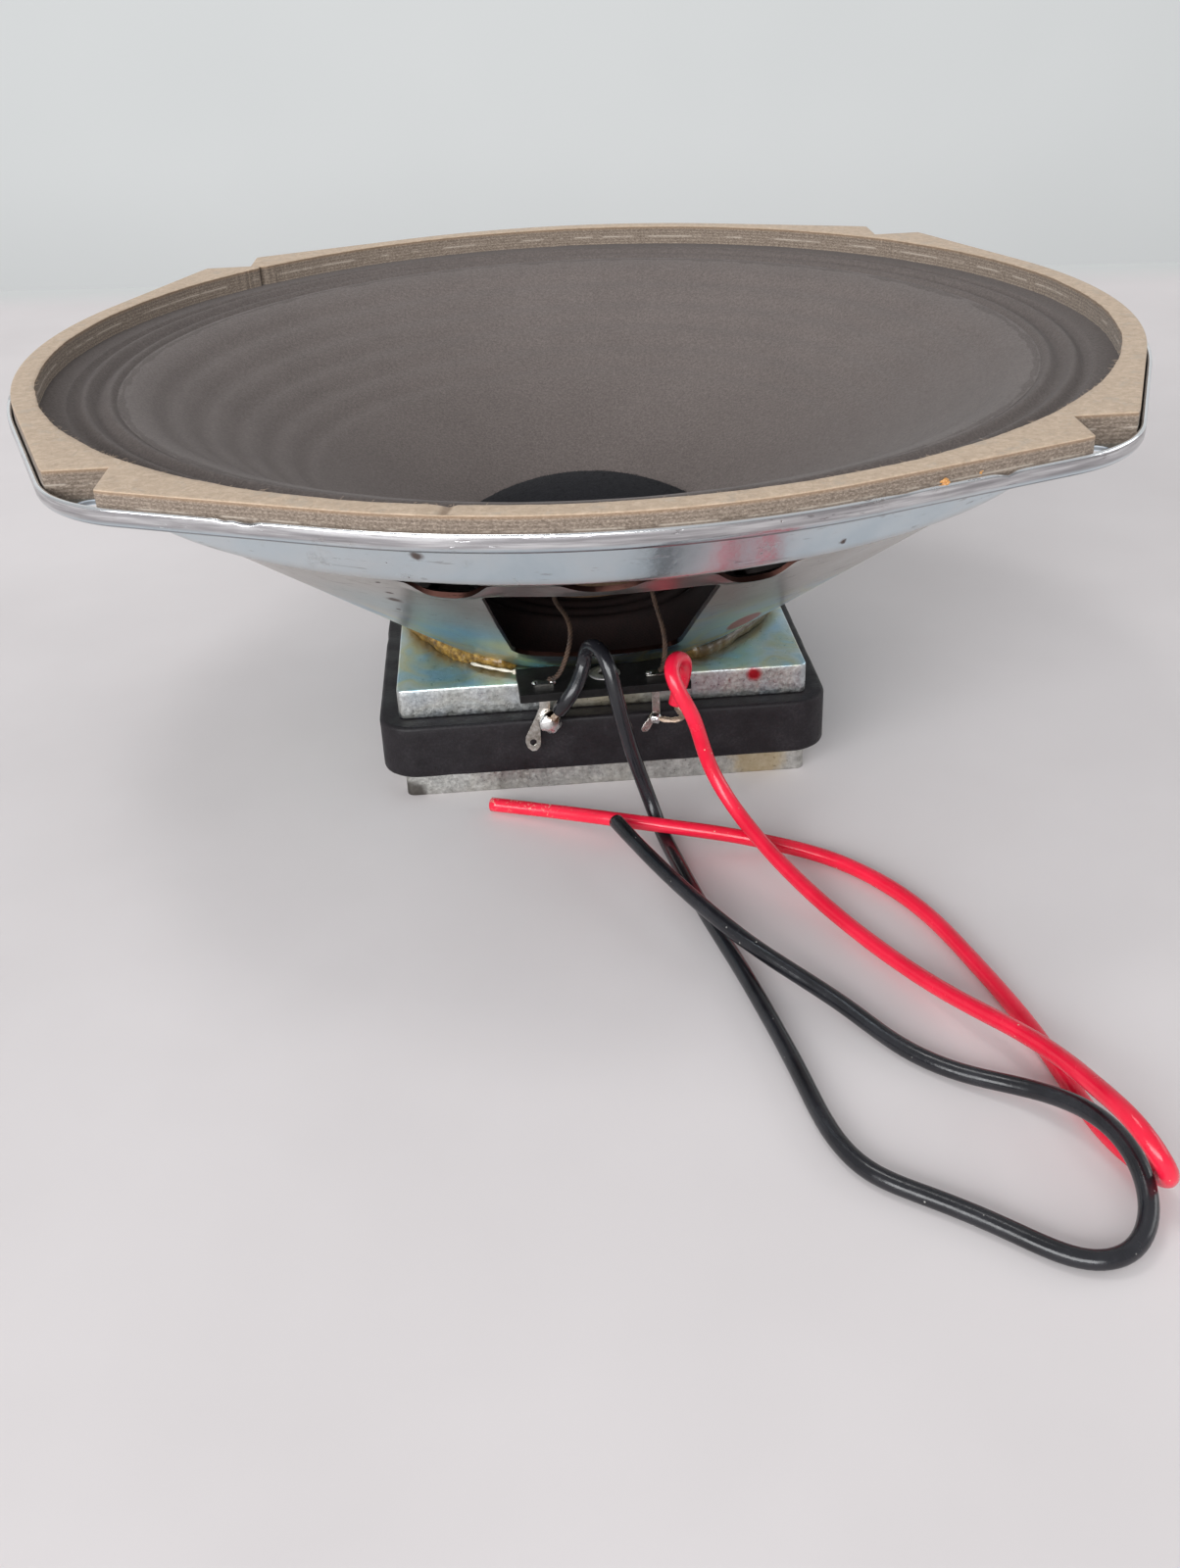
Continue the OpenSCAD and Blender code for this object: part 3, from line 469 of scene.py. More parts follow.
def zinc():
    """Zinc-plated sheet: bluish wall, warm grey slope, streaky lip with painted shade at its bend and a painted
    highlight on its edge, tints low down, painted shade inside.
    """
    m = Shader("zinc_steel", metallic=1.0)
    z = m.axis("Z")
    cloud = m.noise(22, 5, 0.6, distortion=0.4)
    wall = m.colors(cloud, (0.3, (0.53, 0.63, 0.70)), (0.5, (0.64, 0.73, 0.78)), (0.7, (0.71, 0.75, 0.77)))
    slope = m.colors(cloud, (0.3, (0.47, 0.445, 0.415)), (0.5, (0.575, 0.55, 0.52)), (0.7, (0.65, 0.64, 0.62)))
    color = m.mix(m.ramp(z, STEP[1] - 1, STEP[1] + 1.5), slope, wall)
    # A darker band between the front window and the vents
    band = m.times(m.ramp(z, 54.5, 56.5), m.ramp(z, 60.4, 59.6))
    band = m.times(band, m.ramp(m.math("ABSOLUTE", m.axis("X")), 30, 22))
    color = m.over(color, band, 0.8, (0.11, 0.125, 0.12))
    # The lip, with a painted dark line of shade where it bends up and a painted highlight along its top edge
    drawn = m.noise(0.8, 3, 0.6, scale=(0.05, 0.05, 1), at=(6, 2, 4))
    lip = m.colors(drawn, (0.36, (0.34, 0.335, 0.345)), (0.5, (0.47, 0.465, 0.475)), (0.64, (0.70, 0.70, 0.71)))
    color = m.mix(m.ramp(z, FLANGE_Z + 0.6, FLANGE_Z + 1.4), color, lip)
    # Painted shade: a dark line along the lip's bend
    bend = m.times(m.ramp(z, FLANGE_Z + 0.05, FLANGE_Z + 0.2), m.ramp(z, FLANGE_Z + 0.7, FLANGE_Z + 0.5))
    color = m.over(color, bend, 0.7, (0.10, 0.10, 0.11))
    # Painted highlight: the lip's top edge goes near white
    color = m.mix(m.ramp(z, LIP_Z - 0.4, LIP_Z - 0.15), color, (0.93, 0.95, 0.97))
    # Tints
    hue = m.noise(20, 2, 0.5, at=(4, 9, 2), distortion=0.8)
    tint = m.colors(hue, (0.36, (0.30, 0.58, 0.76)), (0.46, (0.44, 0.70, 0.80)), (0.54, (0.70, 0.74, 0.50)),
                    (0.64, (0.56, 0.68, 0.76)))
    color = m.mix(m.ramp(z, 33, 50, 0.85, 0.0), color, tint)
    for at, size, shade in BLOOMS:
        color = m.over(color, m.spot(at, size, 0.9), 0.75, shade)
    # Wear
    dirt = m.ramp(m.noise(7, 6, 0.75, at=(1, 5, 3)), 0.55, 0.75)
    color = m.over(color, dirt, 0.35, (0.34, 0.31, 0.28))
    rare = m.ramp(m.noise(9, 2, at=(7, 3, 9)), 0.52, 0.6)
    specks = m.times(m.ramp(m.cells(2.2, at=(3, 1, 0)), 0.05, 0.08, 1, 0), rare)
    for at, size in SPECKS:
        specks = m.math("MAXIMUM", specks, m.spot(at, size, 0.5, wobble=1.2))
    scratch = m.noise(0.9, 3, 0.7, scale=(0.12, 0.12, 1), at=(8, 2, 6), distortion=0.6)
    marks = m.math("MAXIMUM", specks, m.times(m.ramp(scratch, 0.63, 0.68), 0.4))
    color = m.mix(marks, color, (0.16, 0.13, 0.12))
    red_dot = m.spot((26.2, -41, 33.2), 3.0, 0.12, scale=(1, 0.45, 0.45), wobble=0.5)
    color = m.mix(red_dot, color, (0.55, 0.07, 0.07))
    # Painted shade: faces that look up, below the flange inside the basket, go almost black
    inside = m.times(m.ramp(m.upward(), 0.02, 0.2), m.ramp(z, FLANGE_Z, FLANGE_Z - 1))
    m.put("Base Color", m.mix(inside, color, (0.022, 0.010, 0.008)))
    rough = m.ramp(m.shared(m.noise(1.4, 5, 0.7), 0.5, dirt), 0.2, 0.8, 0.17, 0.40)
    rough = m.math("ADD", rough, m.ramp(z, STEP[1] + 1, STEP[1] - 2, 0.0, 0.12))
    m.put("Roughness", m.math("MAXIMUM", rough, m.times(marks, 0.6)))
    m.lump(m.noise(0.5, 4, 0.7), 0.012)
    m.lump(m.noise(7, 3, 0.6), 0.10)
    m.lump(marks, -0.06)
    return m.material


def plate_steel(name, tints, dark, light, top_z, stains):
    """Plated plate: tinted on its faces, mottled on its edges, with stains where given."""
    m = Shader(name, metallic=1.0)
    hue = m.noise(17, 2, 0.5, distortion=1.2)
    tint = m.colors(hue, *((0.34 + 0.1 * i, shade) for i, shade in enumerate(tints)))
    fine = m.noise(0.8, 5, 0.75)
    mottle = m.colors(m.shared(fine, 0.6, m.noise(3.4, 4, 0.7)), (0.36, dark), (0.62, light))
    color = m.mix(m.ramp(m.axis("Z"), top_z - 0.4, top_z - 0.1, 0.85, 0.25), tint, mottle)
    dirt = m.ramp(m.noise(5, 5, 0.75, at=(2, 2, 2)), 0.62, 0.76)
    color = m.over(color, dirt, 0.35, (0.26, 0.22, 0.18))
    for at, size, wobble, strength, shade in stains:
        color = m.over(color, m.spot(at, size, min(0.35, 1.5 / size), wobble=wobble), strength, shade)
    m.put("Base Color", color)
    m.put("Roughness", m.ramp(fine, 0.3, 0.7, 0.26, 0.5))
    m.lump(m.noise(0.35, 4, 0.7), 0.03)
    m.lump(m.cells(0.9), 0.03)
    return m.material


def fibre():
    """Laminated fibre board: fine pale streaks on top, plies and dotted grain at the sides."""
    m = Shader("fibre_board", 0.9, Sheen_Weight=0.1, Specular_IOR_Level=0.25)
    z = m.axis("Z")
    top = m.colors(m.noise(1.3, 6, 0.75, distortion=0.8), (0.34, (0.42, 0.313, 0.222)),
                   (0.5, (0.51, 0.387, 0.279)), (0.66, (0.60, 0.468, 0.348)))
    fleck = m.ramp(m.noise(4.5, 5, 0.75, at=(3, 8, 1)), 0.54, 0.66)
    top = m.over(top, fleck, 0.4, (0.40, 0.35, 0.29))
    ply = m.node("TexWave", bands_direction="Z", wave_profile="SIN")
    m.feed(ply, Scale=0.5, Distortion=1.6, Detail_Scale=1.0, Vector=m.place((0.1, 0.1, 1)))
    grain = m.noise(0.34, 4, 0.8, scale=(0.8, 0.8, 1.6))
    side = m.colors(m.shared(ply.outputs["Fac"], 0.07, grain), (0.36, (0.12, 0.091, 0.071)),
                    (0.52, (0.225, 0.178, 0.141)), (0.66, (0.38, 0.312, 0.252)))
    middle = (SEAT_Z + GASKET_Z) / 2
    line = m.times(m.ramp(z, middle - 0.25, middle), m.ramp(z, middle + 0.25, middle))
    broken = m.ramp(m.noise(6, 3, 0.6, scale=(1, 1, 0.2), at=(2, 6, 1)), 0.42, 0.56)
    side = m.over(side, m.times(line, broken), 0.6, (0.60, 0.52, 0.44))
    side = m.over(side, m.ramp(z, GASKET_Z - 0.9, GASKET_Z - 0.3), 0.5, (0.34, 0.22, 0.13))
    m.put("Base Color", m.mix(m.ramp(z, GASKET_Z - 0.3, GASKET_Z - 0.12), side, top))
    m.lump(m.noise(0.3, 5, 0.8), 0.10)
    return m.material


def paper(name, dark, sheen):
    """Felted paper, with painted shade making the side that faces down almost black."""
    m = Shader(name, 0.95, Sheen_Weight=sheen, Sheen_Roughness=0.5, Specular_IOR_Level=0.25)
    grain = m.noise(0.5, 6, 0.85)
    stops = ((0.36, (0.096, 0.080, 0.074)), (0.5, (0.135, 0.113, 0.105)), (0.64, (0.185, 0.157, 0.146)))
    color = m.colors(m.shared(grain, 0.9, m.noise(16, 3, 0.6)),
                     *((place, [c * dark for c in shade]) for place, shade in stops))
    fibres = m.ramp(m.noise(0.5, 3, 0.6, scale=(1, 0.2, 1), distortion=2.0, at=(5, 5, 5)), 0.66, 0.75)
    color = m.over(color, fibres, 0.25, (0.30, 0.26, 0.23))
    # Painted shade on the faces that look down
    m.put("Base Color", m.mix(m.ramp(m.upward(), -0.05, -0.3), color, (0.008, 0.004, 0.003)))
    m.lump(grain, 0.08)
    m.lump(m.noise(2.2, 3, 0.6), 0.06)
    return m.material


def felt():
    m = Shader("black_felt", 1.0, Sheen_Weight=0.03, Sheen_Roughness=0.6, Specular_IOR_Level=0.15)
    fuzz = m.noise(0.35, 5, 0.85)
    m.put("Base Color", m.colors(fuzz, (0.4, (0.004, 0.004, 0.006)), (0.62, (0.015, 0.015, 0.019))))
    m.lump(fuzz, 0.12)
    return m.material


def ferrite():
    m = Shader("ferrite", Specular_IOR_Level=0.25)
    cloud, grit = m.noise(8, 5, 0.7), m.noise(0.5, 4, 0.8)
    m.put("Base Color", m.colors(m.shared(cloud, 0.55, grit), (0.36, (0.0065, 0.005, 0.006)),
                                 (0.52, (0.0115, 0.0092, 0.0112)), (0.68, (0.028, 0.024, 0.027))))
    m.put("Roughness", m.ramp(cloud, 0.35, 0.7, 0.42, 0.66))
    m.lump(grit, 0.05)
    m.lump(m.noise(3, 4, 0.7, at=(9, 1, 4)), 0.12)
    return m.material


def amber():
    """Amber glue, burnt dark at the right."""
    m = Shader("amber_glue", 0.28, Coat_Weight=0.12, Coat_Roughness=0.12)
    color = m.colors(m.noise(1.4, 4, 0.7), (0.34, (0.055, 0.028, 0.006)), (0.5, (0.16, 0.085, 0.015)),
                     (0.66, (0.34, 0.20, 0.045)))
    m.put("Base Color", m.over(color, m.spot((29, -26, 23), 13), 0.9, (0.04, 0.024, 0.009)))
    m.lump(m.cells(1.3), 0.1)
    return m.material


def solder():
    """Bright tin with brown flux burnt on over the left joint."""
    m = Shader("solder", metallic=1.0)
    cloud = m.noise(2.5, 4, 0.7)
    color = m.colors(cloud, (0.36, (0.55, 0.53, 0.51)), (0.64, (0.90, 0.90, 0.90)))
    flux = m.spot((-8.2, -45.2, 19.0), 1.5, 0.5, wobble=1.5)
    m.put("Base Color", m.mix(flux, color, (0.12, 0.06, 0.02)))
    m.put("Roughness", m.ramp(m.noise(1.2, 4), 0.3, 0.7, 0.14, 0.32))
    m.lump(cloud, 0.05)
    return m.material


# Treated cloth of dark red-brown, made near black partly as painted shade for the shadow inside the basket
def cloth():
    m = Shader("treated_cloth", 0.8)
    weave = m.node("TexChecker")
    m.feed(weave, Scale=2.2, Vector=m.place())
    threads = m.colors(weave.outputs["Fac"], (0.2, (0.006, 0.0015, 0.001)), (0.8, (0.022, 0.006, 0.0045)))
    worn = m.colors(m.noise(3, 4), (0.35, (0.008, 0.002, 0.0015)), (0.65, (0.020, 0.0055, 0.004)))
    m.put("Base Color", m.mix(0.35, worn, threads))
    m.lump(weave.outputs["Fac"], 0.08)
    return m.material


def pvc(name, dark, light, speck, worn_at=None):
    """Soft shiny plastic with dust specks, scuffed near one end where given."""
    m = Shader(name, 0.3)
    where = m.ramp(m.noise(11, 2, at=(1, 7, 3)), 0.5, 0.62)
    marks = m.times(m.ramp(m.cells(1.9, at=(2, 4, 6)), 0.05, 0.09, 1, 0), where)
    if worn_at:
        scuff = m.ramp(m.noise(1.3, 5, 0.8, distortion=1.5), 0.56, 0.66)
        marks = m.math("MAXIMUM", marks, m.times(m.spot(worn_at, 9, 0.5), scuff))
    m.put("Base Color", m.mix(marks, m.colors(m.noise(9, 4, 0.6), (0.35, dark), (0.65, light)), speck))
    m.put("Roughness", m.ramp(m.noise(2.5, 5, 0.7), 0.3, 0.7, 0.12, 0.28))
    m.lump(m.noise(1.2, 4, 0.7), 0.03)
    m.lump(m.noise(7, 2, 0.5), 0.08)
    return m.material


def plain(name, dark, light, size=1.0, roughness=0.6, bump=0.05, metallic=0.0, **sockets):
    """Two shades in clouds and grain of that size."""
    m = Shader(name, metallic=metallic, **sockets)
    cloud, fine = m.noise(size * 6, 4, 0.7), m.noise(size, 4, 0.75)
    m.put("Base Color", m.colors(m.shared(cloud, 0.5, fine), (0.36, dark), (0.64, light)))
    m.put("Roughness", m.ramp(cloud, 0.3, 0.7, roughness - 0.075, roughness + 0.075))
    m.lump(fine, bump)
    return m.material


ZINC = zinc()
PLATE = plate_steel(
    "plated_steel", ((0.32, 0.60, 0.74), (0.66, 0.76, 0.80), (0.66, 0.68, 0.50), (0.46, 0.68, 0.80)),
    (0.29, 0.295, 0.30), (0.60, 0.605, 0.60), BASE_Z,
    (((0, 0, 22), 38.7, 0.0, 0.55, (0.42, 0.33, 0.14)), ((28.8, -37.5, 20.6), 1.5, 0.6, 1.0, (0.42, 0.02, 0.03))))
BACK_PLATE = plate_steel(
    "weathered_steel", ((0.60, 0.58, 0.54), (0.70, 0.69, 0.66), (0.62, 0.57, 0.45), (0.66, 0.64, 0.60)),
    (0.29, 0.29, 0.28), (0.66, 0.66, 0.63), BACK_Z,
    (((-35.5, -38, 0.3), 2.6, 2.0, 0.9, (0.10, 0.09, 0.08)), ((30, -38, 3), 5.0, 4.0, 0.6, (0.55, 0.42, 0.20))))
FIBRE = fibre()
CONE_PAPER = paper("cone_paper", 1.0, 0.08)
# The edge paper's tone of 0.85 is partly painted shade, for the shadow next to the gasket
EDGE_PAPER = paper("edge_paper", 0.85, 0.05)
FELT = felt()
FERRITE = ferrite()
AMBER = amber()
CLOTH = cloth()
FORMER = plain("former_paper", (0.16, 0.09, 0.05), (0.28, 0.18, 0.11), 0.8, 0.8)
COPPER = plain("copper_winding", (0.42, 0.16, 0.08), (0.66, 0.30, 0.17), 0.3, 0.35, metallic=1.0)
CEMENT = plain("lead_cement", (0.05, 0.03, 0.02), (0.13, 0.08, 0.05), 0.5, 0.45)
BOARD = plain("phenolic_board", (0.004, 0.004, 0.004), (0.014, 0.013, 0.013), 0.6, 0.5, Specular_IOR_Level=0.14)
RIVET_TIN = plain("rivet_tin", (0.30, 0.29, 0.28), (0.60, 0.58, 0.56), 0.5, 0.4, metallic=1.0)
TIN = plain("tag_tin", (0.26, 0.23, 0.19), (0.78, 0.76, 0.72), 0.9, 0.2, metallic=1.0)
SOLDER = solder()
TINSEL = plain("tinsel_braid", (0.014, 0.008, 0.006), (0.10, 0.056, 0.034), 0.35, 0.7, 0.06)
BLACK = pvc("black_pvc", (0.007, 0.007, 0.009), (0.018, 0.018, 0.022), (0.35, 0.34, 0.32))
RED = pvc("red_pvc", (0.67, 0.008, 0.034), (0.80, 0.015, 0.050), (0.62, 0.40, 0.30), (-15, -48, 3))
# Pale glue, its pale colour partly a painted highlight
GLUE_AND_HIGHLIGHT = plain("glue_and_highlight", (0.42, 0.36, 0.28), (0.70, 0.64, 0.56), 0.5, 0.15, 0.03)
CRUMB = plain("glue_crumb", (0.42, 0.18, 0.05), (0.72, 0.38, 0.12), 0.4, 0.4)
STRANDS = plain("bare_strands", (0.40, 0.26, 0.17), (0.78, 0.66, 0.55), 0.3, 0.35, metallic=1.0)


# Cords first
def twist(path, turns, far, thick, sides):
    """Strands round a line. Turns is how far round its points have come, far is each strand's distance."""
    _, s, n = frames(path)
    parts = []
    for k, out in enumerate(far):
        a = 2 * math.pi * (k / len(far) + turns)[:, None]
        parts.append(tube(path + out * (np.cos(a) * s + np.sin(a) * n), thick, sides))
    return joined(parts)


def strands(colour, route, turns):
    """The six bare copper strands at a tag, twisted."""
    path = smooth(route, 8)
    far = [0.36 * (1 - 0.15 * math.sin(k * 2.1)) for k in range(6)]
    return make(f"{colour}_wire_strands_twist", twist(path, turns * np.linspace(0, 1, len(path)), far, 0.17, 6),
                STRANDS, "frame", f"{colour}_wire_strands")


# The cover's cut end: shares of its radius and how far each stands out, in to the copper
CUT_END = ((0.97, 0.0), (0.90, 0.048), (0.62, 0.0), (0.56, -0.4))


def cover(colour, route, material):
    """A wire's plastic cover, a little uneven, with both ends cut."""
    path = smooth(route, 8)
    along = distances(path)
    swell = 1 + 0.012 * np.sin(along * 0.21) + 0.01 * np.sin(along * 0.53 + 1)
    rows = rings(path, WIRE_D / 2 * np.minimum(swell, 1.0), 24)
    tangents = frames(path)[0]
    near, far = ([path[end] + way * out * tangents[end] + share * (rows[end] - path[end])
                  for share, out in CUT_END] for end, way in ((0, -1), (-1, 1)))
    return path, make(f"{colour}_wire_cover", hose(np.array(near[::-1] + list(rows) + far)), material,
                      "frame", f"{colour}_wire")


cores = [strands("black", BLACK_STRANDS, 1.2), strands("red", RED_STRANDS, 2.4)]
covers = [cover("black", BLACK_ROUTE, BLACK), cover("red", RED_ROUTE, RED)]


def core_end(name, path):
    """Cut copper strands inside a wire's far end, one in the middle and six round it."""
    tangent = path[-1] - path[-2]
    tangent /= np.linalg.norm(tangent)
    _, s, n = frames(path[-4:])
    parts = []
    for far, a in [(0, 0)] + [(0.42, k * math.pi / 3) for k in range(6)]:
        at = path[-1] + far * (math.cos(a) * s[-1] + math.sin(a) * n[-1])
        line = np.array([at + tangent * out for out in (-1.2, -0.4, 0.05 - 0.1 * (a % 1))])
        parts.append(tube(line, 0.2, 8))
    make(name, joined(parts), STRANDS, "frame")


core_end("black_wire_core", covers[0][0])
core_end("red_wire_core", covers[1][0])

# Tinsel leads: three plies, a turn each 2.2 mm, stretching between the tag and the cone
for side, route in (("left", LEFT_TINSEL), ("right", RIGHT_TINSEL)):
    path = smooth(route, 10)
    braid = make(f"{side}_tinsel_braid", twist(path, distances(path) / 2.2, [0.27] * 3, 0.22, 8), TINSEL)
    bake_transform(braid)
    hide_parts(f"{side}_tinsel_lead")


# Basket: one sheet from the base hole out to the lip, with its openings cut out
def outline(inset=0.0):
    """Points of the rim's outline and the directions square to it, all the way round."""
    centre = EAR_R - EAR_TIP_R
    half = math.acos((RIM_R - EAR_TIP_R) / centre)
    found = []

    def straight(a, b, square, shares):
        found.extend((a + (b - a) * t, heading(square)) for t in shares)

    for quarter in range(4):
        mid = math.radians(45 + 90 * quarter)
        start, end = mid + half, mid + math.pi / 2 - half
        ear, next_ear = centre * heading(mid), centre * heading(mid + math.pi / 2)
        for a in mid - half + 2 * half * np.arange(25) / 24:
            found.append((ear + EAR_TIP_R * heading(a), heading(a)))
        straight(found[-1][0], RIM_R * heading(start), start, np.arange(1, 25) / 24)
        for a in start + (end - start) * np.arange(1, 60) / 60:
            found.append((RIM_R * heading(a), heading(a)))
        straight(RIM_R * heading(end), next_ear + EAR_TIP_R * heading(end), end, np.arange(24) / 24)
    points, normals = (np.array(part) for part in zip(*found))
    return points - inset * normals, normals


SIDE_SLOPE = (SIDE_TOP[1] - BASE_Z) / (SIDE_TOP[0] - BASE_R)
STEP_SLOPE = (STEP[1] - SIDE_TOP[1]) / (STEP[0] - SIDE_TOP[0])
CUT_REACH = 4.0
VENT_PITCH, VENT_PRESS, VENT_PRESS_W = 15.7, 1.4, 6.0
WINDOW_LOW_R, WINDOW_HIGH_R, WINDOW_CORNER = 43.4, 79.0, 3.0


def square_to(slope):
    """Outward and upward parts of the direction square to a sheet of that slope."""
    return -slope / math.hypot(1, slope), 1 / math.hypot(1, slope)


def cutter(plan, turn, at_r, at_z, slope):
    """A block for cutting: the plan on a sheet of that slope, pushed both ways square to it."""
    c, s = math.cos(turn), math.sin(turn)
    flat = np.array(plan) @ np.array([[c, s], [-s, c]])
    r = np.linalg.norm(flat, axis=1)
    square = square_to(slope)
    middle = np.column_stack([flat, at_z + slope * (r - at_r)])
    push = CUT_REACH * np.column_stack([flat / r[:, None] * square[0], np.full(len(r), square[1])])
    verts = np.vstack([middle - push, middle + push])
    return verts, prism(flat, 0, 1)[1]


def window_plan():
    """Half of a window, then its mirror image: two arcs and a side, with eased corners."""
    low_a, high_a = math.asin(14 / WINDOW_LOW_R), math.asin(18.5 / WINDOW_HIGH_R)
    cut, arc = WINDOW_CORNER, np.arange(9) / 8

    def corner(before, b, after):
        return [(1 - t) ** 2 * before + 2 * t * (1 - t) * b + t * t * after for t in np.arange(1, 5) / 5] + [after]

    half = [WINDOW_LOW_R * heading((low_a - cut / WINDOW_LOW_R) * t) for t in arc]
    half += corner(half[-1], WINDOW_LOW_R * heading(low_a), (WINDOW_LOW_R + cut) * heading(low_a))
    top = [WINDOW_HIGH_R * heading((high_a - cut / WINDOW_HIGH_R) * (1 - t)) for t in arc]
    half += [(WINDOW_HIGH_R - cut) * heading(high_a)]
    half += corner(half[-1], WINDOW_HIGH_R * heading(high_a), top[0])[:-1] + top
    return (half + [p * (1, -1) for p in reversed(half) if p[1] > 0.01])[::-1]


def vent_plan():
    """A lens of two arcs."""
    length, width, r = 15.5, 6.8, 85.2
    arc_r = (length ** 2 + width ** 2) / width / 4
    half = math.asin(length / 2 / arc_r)
    return [np.array([r, 0]) + side * (arc_r * heading(a) - np.array([arc_r - width / 2, 0]))
            for side in (1, -1) for a in -half + 2 * half * np.arange(14) / 14]


def press_vents(mesh):
    """Presses the sheet's lower lip out under each vent, a third as far under the middle ones."""
    co = places(mesh)
    r = np.hypot(co[:, 0], co[:, 1])
    around = np.degrees(np.arctan2(co[:, 1], co[:, 0]))
    push = np.zeros(len(co))
    for side in range(4):
        for k in (-1, 0, 1):
            off = (around - 90 * side - VENT_PITCH * k + 180) % 360 - 180
            share = 1 if k else 1 / 3
            push += VENT_PRESS * share * np.exp(-(np.radians(off) * r / VENT_PRESS_W) ** 4)
    push *= np.exp(-((r - 82.0) / 2.2) ** 2) * (co[:, 2] < FLANGE_Z - 1)
    square = square_to(SIDE_SLOPE)
    co[:, :2] -= co[:, :2] / np.maximum(r, 1)[:, None] * (push * square[0])[:, None]
    co[:, 2] -= push * square[1]
    mesh.vertices.foreach_set("co", (co * MM).astype(np.float32).ravel())
    mesh.update()


def basket():
    corners = [(16.5, BASE_Z), (BASE_R, BASE_Z), SIDE_TOP, STEP, (WALL_TOP_R, FLANGE_Z), (97.5, FLANGE_Z)]
    under = rounded(corners, 2.0, 5)
    lower, upper = spread(under, 1.6), spread(beside(under, SHEET), 1.6)
    edge, normal = outline()
    n = len(edge)
    around = np.arctan2(edge[:, 1], edge[:, 0])
    bend, half = 1.6, SHEET / 2
    lip_top = LIP_Z - half
    web_z = (FLANGE_Z + bend + lip_top) / 2
    quarter = [math.pi / 2 * k / 6 for k in range(7)]
    ninths = [k / 9 for k in range(1, 9)]

    def ring(r):
        return r * np.column_stack([np.cos(around), np.sin(around)])

    def rim(inset):
        return edge - inset * normal

    def flange(t):
        return ring(97.5) + (rim(bend) - ring(97.5)) * t

    rows = [(ring(r), z) for r, z in lower] + [(flange(t), FLANGE_Z) for t in ninths]
    rows += [(rim(bend * (1 - math.sin(a))), FLANGE_Z + bend * (1 - math.cos(a))) for a in quarter]
    rows += [(rim(0), web_z)]
    rows += [(rim(half - half * math.cos(2 * a)), lip_top + half * math.sin(2 * a)) for a in quarter]
    rows += [(rim(SHEET), web_z)]
    rows += [(rim(bend - (bend - SHEET) * math.sin(a)), SEAT_Z + (bend - SHEET) * (1 - math.cos(a)))
             for a in reversed(quarter)]
    rows += [(flange(t), SEAT_Z) for t in reversed(ninths)] + [(ring(r), z) for r, z in reversed(upper)]
    points = np.stack([np.column_stack([flat, np.full(n, z)]) for flat, z in rows], 1)
    # Small dents along the lip, as on the real one
    for x, y, depth, wide in ((-48.2, -90.5, 0.6, 1.3), (-51.0, -89.0, 0.3, 1.0), (56.1, -86.4, 0.6, 1.2),
                              (40.7, -93.5, 0.2, 2.0)):
        away = np.linalg.norm(points[..., :2] - (x, y), axis=-1)
        high = np.clip((points[..., 2] - FLANGE_Z - 1.2) / 1.5, 0, 1)
        points[..., 2] -= depth * np.exp(-(away / wide) ** 2) * high
    verts, faces = grid(points)
    obj = make("basket_sheet", (verts, faces[:, ::-1]), ZINC)
    bolt = [HOLE_R * heading(2 * math.pi * k / 40) for k in range(40)]
    cuts = []
    for i in range(4):
        turn = math.radians(90 * i - 90)
        cuts.append(cutter(window_plan(), turn, BASE_R, BASE_Z, SIDE_SLOPE))
        for k in (-1, 0, 1):
            cuts.append(cutter(vent_plan(), turn + math.radians(VENT_PITCH * k), *SIDE_TOP, STEP_SLOPE))
        mid = HOLE_AT_R * heading(math.radians(45 + 90 * i))
        cuts.append(cutter([mid + p for p in bolt], 0, 0, SEAT_Z, 0))
    mesh = carve(obj, joined(cuts))
    press_vents(mesh)
    mesh.set_sharp_from_angle(angle=math.radians(38))
    settle(obj, "frame", "basket")


basket()

# The pressed tongue under the tag board
tongue_x = np.linspace(-6, 6, 7)
section = [(x, BASE_Z) for x in tongue_x[::-1]] + [(x, BASE_Z + SHEET) for x in tongue_x]
rows = [[(x, y, z) for x, z in section] for y in np.linspace(-44.3, -32.0, 7)]
bevel(make("basket_tongue", hose(rows), ZINC, "frame", sharp=40), 0.15)

# Gasket: laminated fibre ring with square notches, its inner edge left a little furry
GASKET_INSET, GASKET_BORE_R, NOTCH = 1.05, 96.25, 70.39
TEAR = math.radians(134.4)
NICK = math.atan2(-95.1, -20.7) % (2 * math.pi)


